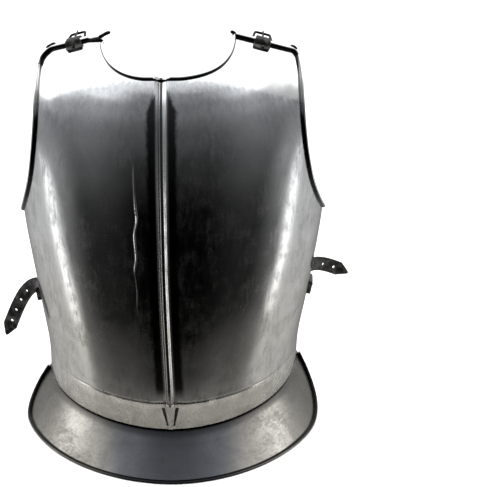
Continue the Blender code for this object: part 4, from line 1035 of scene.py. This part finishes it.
def makeTab(layout):
    def flat(vector):
        return np.array([np.dot(vector, layout["back"]), np.dot(vector, layout["up"])])

    half = buckle["leather"] / 2
    points = []
    for share in (1.0, tab["rivetShare"], tab["lastFlat"]):
        point, normal = surfaceBelow(layout, tab["run"] * share)
        points.append(flat(point + normal * (buckle["leatherGap"] + half) - layout["roll"]))
    flatEnd = len(points) - 1
    overRoll = plate["shoulderRoll"] + buckle["gap"] + half
    out = flat(layout["normal"])
    start = math.atan2(out[1], out[0]) + tab["rollStart"]
    for angle in np.linspace(start, tab["rollEnd"], 14):
        points.append(np.array([math.cos(angle), math.sin(angle)]) * overRoll)
    rollEnd = len(points) - 1
    roundBar = buckle["barRadius"] + buckle["clearance"] + half
    bar = flat(layout["bar"] - layout["roll"])
    for angle in np.linspace(tab["loopStart"], tab["loopStart"] - tab["loopTurn"], 40):
        points.append(bar + np.array([math.cos(angle), math.sin(angle)]) * roundBar)
    points = np.array(points)
    lengths = np.concatenate([[0.0], np.cumsum(np.linalg.norm(np.diff(points, axis=0), axis=1))])
    runs = unit(np.diff(points, axis=0))
    ways = unit(np.concatenate([runs[:1], runs[:-1] + runs[1:], runs[-1:]]))

    def place(distance, sideways, lift):
        index = int(np.clip(np.searchsorted(lengths, distance, side="right") - 1, 0, len(points) - 2))
        share = (distance - lengths[index]) / (lengths[index + 1] - lengths[index])
        middle = points[index] * (1 - share) + points[index + 1] * share
        way = ways[index] * (1 - share) + ways[index + 1] * share
        here = middle + np.array([-way[1], way[0]]) * lift
        return layout["roll"] + layout["back"] * here[0] + layout["up"] * here[1] + layout["along"] * sideways

    spots = np.unique(np.concatenate([np.linspace(0, tab["corner"], 6),
                                      np.linspace(tab["corner"], lengths[flatEnd], 8), lengths[flatEnd:]]))
    spots[-1] = lengths[-1]
    narrowFrom, narrowTo = lengths[flatEnd + 1], lengths[flatEnd + 8]
    wide, narrow = tab["width"] / 2, tab["loopWidth"] / 2
    halfWidths = cornered(wide + (narrow - wide) * ease(narrowFrom, narrowTo, spots), spots, tab["corner"])
    slotFrom = points[rollEnd - 4][0]
    return leatherStrip(place, spots, halfWidths, [buckle["leather"]] * len(spots)), slotFrom


# Rivets: domed head outside, flat tail inside
rivet = {
    "shank": 1.2 * mm,
    "head": 2.2 * mm,
    "headHeight": 1.3 * mm,
    "tail": 2.0 * mm,
    "tailHeight": 0.8 * mm,
    "gap": 0.45 * mm,
    "sides": 32,
}


def makeRivet(spot, outward, stack):
    r = rivet
    outer, inner = stack + r["gap"], -plate["thickness"] - r["gap"]
    profile = [(inner - r["tailHeight"], r["tail"] * 0.9), (inner - r["tailHeight"] * 0.75, r["tail"]),
               (inner, r["tail"]), (inner, r["shank"]), (outer, r["shank"]), (outer, r["head"] * 0.97)]
    for angle in np.radians(np.linspace(4, 86, 10)):
        profile.append((outer + r["headHeight"] * math.sin(angle), r["head"] * math.cos(angle) ** 0.9))
    first = unit(np.cross(outward, (0.0, 0.0, 1.0)))
    second = np.cross(outward, first)
    turn = np.linspace(0, 2 * math.pi, r["sides"], endpoint=False)[:, None]
    rings = [radius * (first * np.cos(turn) + second * np.sin(turn)) for height, radius in profile]
    return sweptMesh([spot + outward * height for height, radius in profile], rings, False)


# Side straps: doubled root, creased face, punched holes, tapered free end
strap = {
    "width": 20 * mm,
    "freeLength": 122 * mm,
    "rootLength": 22 * mm,
    "rootStep": 5 * mm,
    "rootThickness": 5.2 * mm,
    "rivetShare": 0.58,
    "taper": 17 * mm,
    "tipWidth": 5 * mm,
    "tipPoint": 2 * mm,
    "holeRadius": 2.1 * mm,
    "holeSides": 32,
    "cutterLength": 12 * mm,
    "holePitch": 19 * mm,
    "holeCount": 4,
    "holeFromTip": 26 * mm,
    "heights": (177 * mm, 184 * mm),
    "way": 0.1,
    "steps": 14,
    "corner": 2 * mm,
    "rootStations": 26,
    "stations": 150,
    "tipStations": 40,
}

# How each free strap leaves the side edge: share of its length, degrees outward, degrees of droop
strapBends = (
    ((0.00, 10, 0), (0.14, 44, 26), (0.32, 58, 50), (0.60, 68, 64), (1.00, 80, 67)),
    ((0.00, 0, 0), (0.30, 8, 3), (0.45, 30, 12), (0.60, 52, 20), (1.00, 72, 33)),
)


def strapLayout(side):
    height = strap["heights"][0 if side < 0 else 1]
    top = float(bandTop(side))
    up = (height - top) / (tipHeight - top)
    edge = platePoint(side, up)
    acrossWay = edge - platePoint(side * (1 - strap["way"]), up)
    rise = platePoint(side, up + 1e-3) - platePoint(side, up - 1e-3)
    out = unit(np.cross(acrossWay, rise))
    return {"up": up, "edge": edge, "back": unit(acrossWay), "out": out * np.sign(out[0] * side),
            "run": np.linalg.norm(acrossWay) / strap["way"], "tall": tipHeight - top}


def makeStrap(side):
    s, layout = strap, strapLayout(side)
    rows = strapBends[0 if side < 0 else 1]
    at = np.linspace(0, 1, s["steps"] + 1)
    outward = np.radians(through(rows, 1, at))[:, None]
    droop = np.radians(through(rows, 2, at))[:, None]
    levelBack = unit(layout["back"] * np.array([1, 1, 0]))
    levelOut = unit(layout["out"] * np.array([1, 1, 0]))
    levelOut = unit(levelOut - levelBack * np.dot(levelOut, levelBack))
    vertical = np.array([0.0, 0.0, 1.0])
    level = levelBack * np.cos(outward) + levelOut * np.sin(outward)
    ways = level * np.cos(droop) - vertical * np.sin(droop)
    widths = vertical * np.cos(droop) + level * np.sin(droop)
    outs = levelOut * np.cos(outward) - levelBack * np.sin(outward)
    steps = (ways[1:] + ways[:-1]) / 2 * s["freeLength"] / s["steps"]
    start = layout["edge"] + layout["out"] * (buckle["leatherGap"] + buckle["leather"] / 2)
    points = start + np.concatenate([np.zeros((1, 3)), np.cumsum(steps, axis=0)])
    table = [(place, *points[k], *widths[k], *outs[k]) for k, place in enumerate(at)]
    root, total = s["rootLength"], s["rootLength"] + s["freeLength"]

    def thickness(distance):  # the doubled root thins to one layer
        thinning = ease(root - s["rootStep"], root, distance)
        return s["rootThickness"] + (buckle["leather"] - s["rootThickness"]) * thinning

    def freeFrame(distance):
        share = (distance - root) / s["freeLength"]
        values = np.array([float(through(table, k, np.array(share))) for k in range(1, 10)])
        return values[:3], unit(values[3:6]), unit(values[6:9])

    def place(distance, sideways, lift):
        if distance <= root:
            across = side * (1.0 - (root - distance) / layout["run"])
            up = layout["up"] + sideways / layout["tall"]
            middle = buckle["leatherGap"] + float(thickness(distance)) / 2
            return platePoint(across, up) + plateNormal(across, up) * (middle + lift)
        here, width, out = freeFrame(distance)
        return here + width * sideways + out * lift

    near = np.linspace(0, s["corner"], 6)
    far = total - s["taper"] - 2 * mm
    spots = np.concatenate([near, np.linspace(s["corner"], root, s["rootStations"])[1:],
                            np.linspace(root, far, s["stations"])[1:],
                            np.linspace(far, total - 0.05 * mm, s["tipStations"])[1:]])
    half, tip = s["width"] / 2, s["tipWidth"] / 2
    halfWidths = np.interp(spots, (0, total - s["taper"], total - s["tipPoint"], total),
                           (half, half, tip, 0.4 * mm))
    halfWidths = cornered(halfWidths, spots, s["corner"])
    holes = [freeFrame(total - s["holeFromTip"] - s["holePitch"] * k) for k in range(s["holeCount"])]
    return leatherStrip(place, spots, halfWidths, thickness(spots)), holes, layout


def roundCutter(spot, width, out, radius, length):
    other = np.cross(width, out)
    turn = np.linspace(0, 2 * math.pi, strap["holeSides"], endpoint=False)[:, None]
    ring = radius * (width * np.cos(turn) + other * np.sin(turn))
    return guideSolid(*sweptMesh([spot - out * length / 2, spot + out * length / 2], [ring, ring], False))


for side, word in ((-1, "left"), (1, "right")):
    layout = buckleLayout(side)
    addMesh("wire_frame_" + word, makeFrame(layout), "frame_" + word, blackened, "shoulder_buckle_" + word)
    addMesh("wire_prong_" + word, makeProng(layout), "prong_" + word, blackened, "buckle_prong_" + word)
    shape, slotFrom = makeTab(layout)
    piece = addMesh("leather_tab_" + word, shape, "breastplate", leather, "shoulder_tab_" + word)
    corner = layout["roll"] + layout["back"] * slotFrom
    slot = [corner + layout["along"] * a * tab["slotHalf"] + layout["back"] * b * tab["slotReach"]
            + layout["up"] * u * tab["slotTall"] for a in (-1, 1) for b in (0, 1) for u in (-1, 1)]
    boxFaces = [(0, 1, 3, 2), (4, 6, 7, 5), (0, 4, 5, 1), (2, 3, 7, 6), (0, 2, 6, 4), (1, 5, 7, 3)]
    cutAway(piece, [guideSolid(placed(slot), boxFaces)])
    spot, normal = surfaceBelow(layout, tab["run"] * tab["rivetShare"])
    shape = makeRivet(spot, normal, buckle["leatherGap"] + buckle["leather"])
    addMesh("tab_rivet_dome_" + word, shape, "breastplate", blackened, "tab_rivet_" + word)
    shape, holes, strapPlace = makeStrap(side)
    piece = addMesh("leather_side_strap_" + word, shape, "breastplate", leather, "side_strap_" + word)
    cutAway(piece, [roundCutter(spot + rootShift, width, out, strap["holeRadius"], strap["cutterLength"])
                    for spot, width, out in holes])
    across = side * (1.0 - strap["rootLength"] * strap["rivetShare"] / strapPlace["run"])
    spot, normal = platePoint(across, strapPlace["up"]), plateNormal(across, strapPlace["up"])
    shape = makeRivet(spot, normal, buckle["leatherGap"] + strap["rootThickness"])
    addMesh("strap_rivet_dome_" + word, shape, "breastplate", blackened, "strap_rivet_" + word)

# The wire inside the rolled upper edge: its ends show at the neck corners and the shoulder tips
wireEnd = {
    "radius": 2.1 * mm,
    "neckReach": (9.5 * mm, 2.5 * mm),
    "neckRise": (3.0 * mm, 2.0 * mm),
    "tipLength": (9 * mm, 5 * mm),
    "tipPlace": (0.80, 0.93),
    "tipRise": 2.2 * mm,
    "tipRadius": 2.31 * mm,
    "hidden": 8 * mm,
    "sides": 20,
}


def makeWireEnds(side):
    k = 0 if side < 0 else 1
    edge = plate["neckShare"] * side
    corner, before = platePoint(edge, 1.0), platePoint(edge + side * 0.06, 1.0)
    way = unit(corner - before)
    lift = np.array([0, 0, 1.0])
    centre = corner + plateNormal(edge + side * 0.02, 1.0) * (plate["shoulderRoll"] - plate["thickness"])
    path = [centre - way * wireEnd["hidden"]]
    for t in np.linspace(0.2, 1, 9):
        path.append(centre + way * (t * (wireEnd["neckReach"][k] + 4 * mm) - 4 * mm)
                    + lift * wireEnd["neckRise"][k] * float(ease(0, 1, t)))
    path, radii = ovalEnds(path, [wireEnd["radius"]] * len(path))
    neck = roundRod(path, radii, False, np.array([0, 1.0, 0]), wireEnd["sides"])
    spot = side * (plate["neckShare"] + (1 - plate["neckShare"]) * wireEnd["tipPlace"][k])
    tip, onward = platePoint(spot, 1.0), platePoint(spot + side * 0.02, 1.0)
    run = unit(onward - tip)
    middle = (tip + plateNormal(spot, 1.0) * (plate["shoulderRoll"] - plate["thickness"])
              + lift * wireEnd["tipRise"])
    half = wireEnd["tipLength"][k] / 2
    path = [middle + run * t * half + lift * 0.6 * mm * (1 - t * t) for t in np.linspace(-1, 1, 9)]
    path, radii = ovalEnds(path, [wireEnd["tipRadius"]] * len(path))
    tipRod = roundRod(path, radii, False, np.array([0, 1.0, 0]), wireEnd["sides"])
    count = len(neck[0])
    return (np.concatenate([neck[0], tipRod[0]]),
            neck[1] + [tuple(count + v for v in face) for face in tipRod[1]])


for side, word in ((-1, "left"), (1, "right")):
    addMesh("roll_wire_ends_" + word, makeWireEnds(side), "breastplate", blackened)

# The room that the steel mirrors: dark in front, pale below, a bright ceiling, windows at the sides.
# Each wall: the azimuths over which it takes over, then pairs of elevation and level of the mirrored light
room = {
    "walls": (
        (None, ((-90, 190), (-52, 85), (-40, 10), (-12, 4), (8, 45), (28, 100), (56, 140), (72, 266))),
        ((18, 56), ((-90, 175), (-50, 96), (-36, 30), (-18, 34), (0, 88), (22, 138), (36, 190), (44, 268))),
        ((60, 80), ((-90, 165), (-46, 100), (-34, 70), (-22, 84), (-8, 148), (10, 122), (20, 175), (32, 268))),
        ((82, 98), ((-90, 150), (-45, 172), (-20, 165), (-4, 138), (14, 200), (30, 272), (90, 272))),
        ((125, 172), ((-90, 130), (-26, 100), (-6, 150), (30, 215), (55, 262), (90, 270))),
    ),
    # tall windows beside the plate: azimuths, elevations, softness in degrees, level
    "windows": (((89, 99), (-37, -13), 4, 285), ((84, 101), (16, 36), 6, 390)),
    "reflectance": 0.60,
    "headroom": 4.0,
}


def roomLight(level):
    return (level / 255) ** 2.2 / room["reflectance"] / room["headroom"]


def makeRoom():
    world = bpy.data.worlds.new("softRoom")
    world.use_nodes = True
    tree = world.node_tree
    way = node(tree, "ShaderNodeTexCoord").outputs["Generated"]
    parts = node(tree, "ShaderNodeSeparateXYZ", {}, {0: way}).outputs
    rise = node(tree, "ShaderNodeMath", {"operation": "ARCSINE"}, {0: parts[2]}).outputs[0]
    height = node(tree, "ShaderNodeMath", timesPlus, {0: rise, 1: 1 / math.pi, 2: 0.5}).outputs[0]
    sideways = node(tree, "ShaderNodeMath", {"operation": "ABSOLUTE"}, {0: parts[0]}).outputs[0]
    forward = node(tree, "ShaderNodeMath", times, {0: parts[1], 1: -1.0}).outputs[0]
    turn = node(tree, "ShaderNodeMath", {"operation": "ARCTAN2"}, {0: sideways, 1: forward}).outputs[0]
    light = None
    for azimuths, levels in room["walls"]:
        ramp = node(tree, "ShaderNodeValToRGB", {}, {0: height})
        stops = ramp.color_ramp.elements
        while len(stops) < len(levels):
            stops.new(0.5)
        for stop, (elevation, level) in zip(stops, levels):
            stop.position = (elevation + 90) / 180
            stop.color = [roomLight(level)] * 3 + [1.0]
        if light is None:
            light = ramp.outputs[0]
            continue
        share = node(tree, "ShaderNodeMapRange", smooth, {
            "Value": turn, "From Min": math.radians(azimuths[0]),
            "From Max": math.radians(azimuths[1])}).outputs[0]
        light = node(tree, "ShaderNodeMix", colours, {0: share, 6: light, 7: ramp.outputs[0]}).outputs[2]
    for azimuths, elevations, soft, level in room["windows"]:
        inside = None
        for value, span in ((turn, azimuths), (rise, elevations)):
            for edge, rising in ((span[0], True), (span[1], False)):
                mask = node(tree, "ShaderNodeMapRange", smooth, {
                    "Value": value, "From Min": math.radians(edge - soft), "From Max": math.radians(edge + soft),
                    "To Min": 0.0 if rising else 1.0, "To Max": 1.0 if rising else 0.0}).outputs[0]
                inside = mask if inside is None else node(tree, "ShaderNodeMath", times, {
                    0: inside, 1: mask}).outputs[0]
        light = node(tree, "ShaderNodeMix", colours, {
            0: inside, 6: light, 7: [roomLight(level)] * 3 + [1.0]}).outputs[2]
    join(tree, tree.nodes["Background"], {"Color": light, "Strength": room["headroom"]})
    bpy.context.scene.world = world


makeRoom()

# Matt paper: nearly white with a faint fibre, so that only the contact shadow stands out on it
floorLook = {
    "colour": "f6f6f5",
    "worn": "efefed",
    "roughness": 0.85,
    "shine": 0.1,
    "grain": 4 * mm,
    "flatRadius": 4.5,
    "sweepRadius": 1.5,
    "wallTop": 4.0,
    "spokes": 96,
}


def makeFloor():  # a paper floor that sweeps up into a round backdrop
    f = floorLook
    outline = [(f["flatRadius"] * k / 3, 0.0) for k in (1, 2, 3)]
    outline += [(f["flatRadius"] + f["sweepRadius"] * math.sin(t), f["sweepRadius"] * (1 - math.cos(t)))
                for t in np.linspace(0, math.pi / 2, 17)[1:]]
    outline.append((outline[-1][0], f["wallTop"]))
    count = f["spokes"]
    turns = [2 * math.pi * k / count for k in range(count)]
    vertices = [(0, 0, 0)] + [(r * math.cos(t), r * math.sin(t), z) for r, z in outline for t in turns]
    faces = [(0, 1 + k, 1 + (k + 1) % count) for k in range(count)]
    for ring in range(len(outline) - 1):
        low, high = 1 + ring * count, 1 + (ring + 1) * count
        faces += [(low + k, high + k, high + (k + 1) % count, low + (k + 1) % count) for k in range(count)]
    mesh = bpy.data.meshes.new("floor")
    mesh.from_pydata(vertices, [], faces)
    mesh.shade_smooth()
    floor = linked("pale_floor", mesh)
    material, tree, shader, place = newMaterial("matPaperFloor")
    fibre = node(tree, "ShaderNodeTexNoise", {}, {
        "Vector": place, "Scale": 1 / f["grain"], "Detail": 2.0}).outputs["Fac"]
    shade = node(tree, "ShaderNodeMix", colours, {
        0: fibre, 6: linearColour(f["colour"]), 7: linearColour(f["worn"])}).outputs[2]
    join(tree, shader, {"Base Color": shade, "Roughness": f["roughness"], "Specular IOR Level": f["shine"]})
    mesh.materials.append(material)
    floor.visible_glossy = False


makeFloor()


def softLight(name, place, aim, size, power):  # a broad lamp that lights without being mirrored
    lamp = bpy.data.lights.new(name, "AREA")
    lamp.shape = "DISK"
    lamp.size = size
    lamp.energy = power
    item = linked(name, lamp)
    item.location = place
    item.rotation_mode = "QUATERNION"
    item.rotation_quaternion = (Vector(aim) - Vector(place)).to_track_quat("-Z", "Y")
    item.visible_glossy = False


softLight("overhead_softbox", (0.3, -0.6, 3.2), (0, 0.2, 0), 3.5, 60)
softLight("backdrop_softbox", (0.0, 3.4, 3.0), (0, 2.6, 0), 3.5, 60)

# The camera, at the photograph's angle
view = {"azimuth": 2.5, "elevation": 24, "roll": 1.2, "distance": 1.4, "target": (0.0014, -0.0265, 0.269),
        "lens": 36 * (1400 / 1.24) / 500, "shift": (0.156, 0.009)}


def makeCamera():
    a, e, r = (math.radians(view[k]) for k in ("azimuth", "elevation", "roll"))
    back = Vector((math.sin(a) * math.cos(e), -math.cos(a) * math.cos(e), math.sin(e)))
    right = (-back).cross(Vector((0, 0, 1))).normalized()
    up = right.cross(-back)
    first = right * math.cos(r) - up * math.sin(r)
    second = right * math.sin(r) + up * math.cos(r)
    lens = bpy.data.cameras.new("photo_view")
    lens.sensor_width = 36
    lens.lens = view["lens"]
    lens.shift_x, lens.shift_y = view["shift"]
    camera = linked("photo_view", lens)
    turn = Matrix((first, second, back)).transposed().to_4x4()
    camera.matrix_world = Matrix.Translation(Vector(view["target"]) + back * view["distance"]) @ turn
    bpy.context.scene.camera = camera


makeCamera()
bpy.context.scene.view_settings.view_transform = "Standard"
print("room, floor and camera made")

bpy.context.view_layer.update()
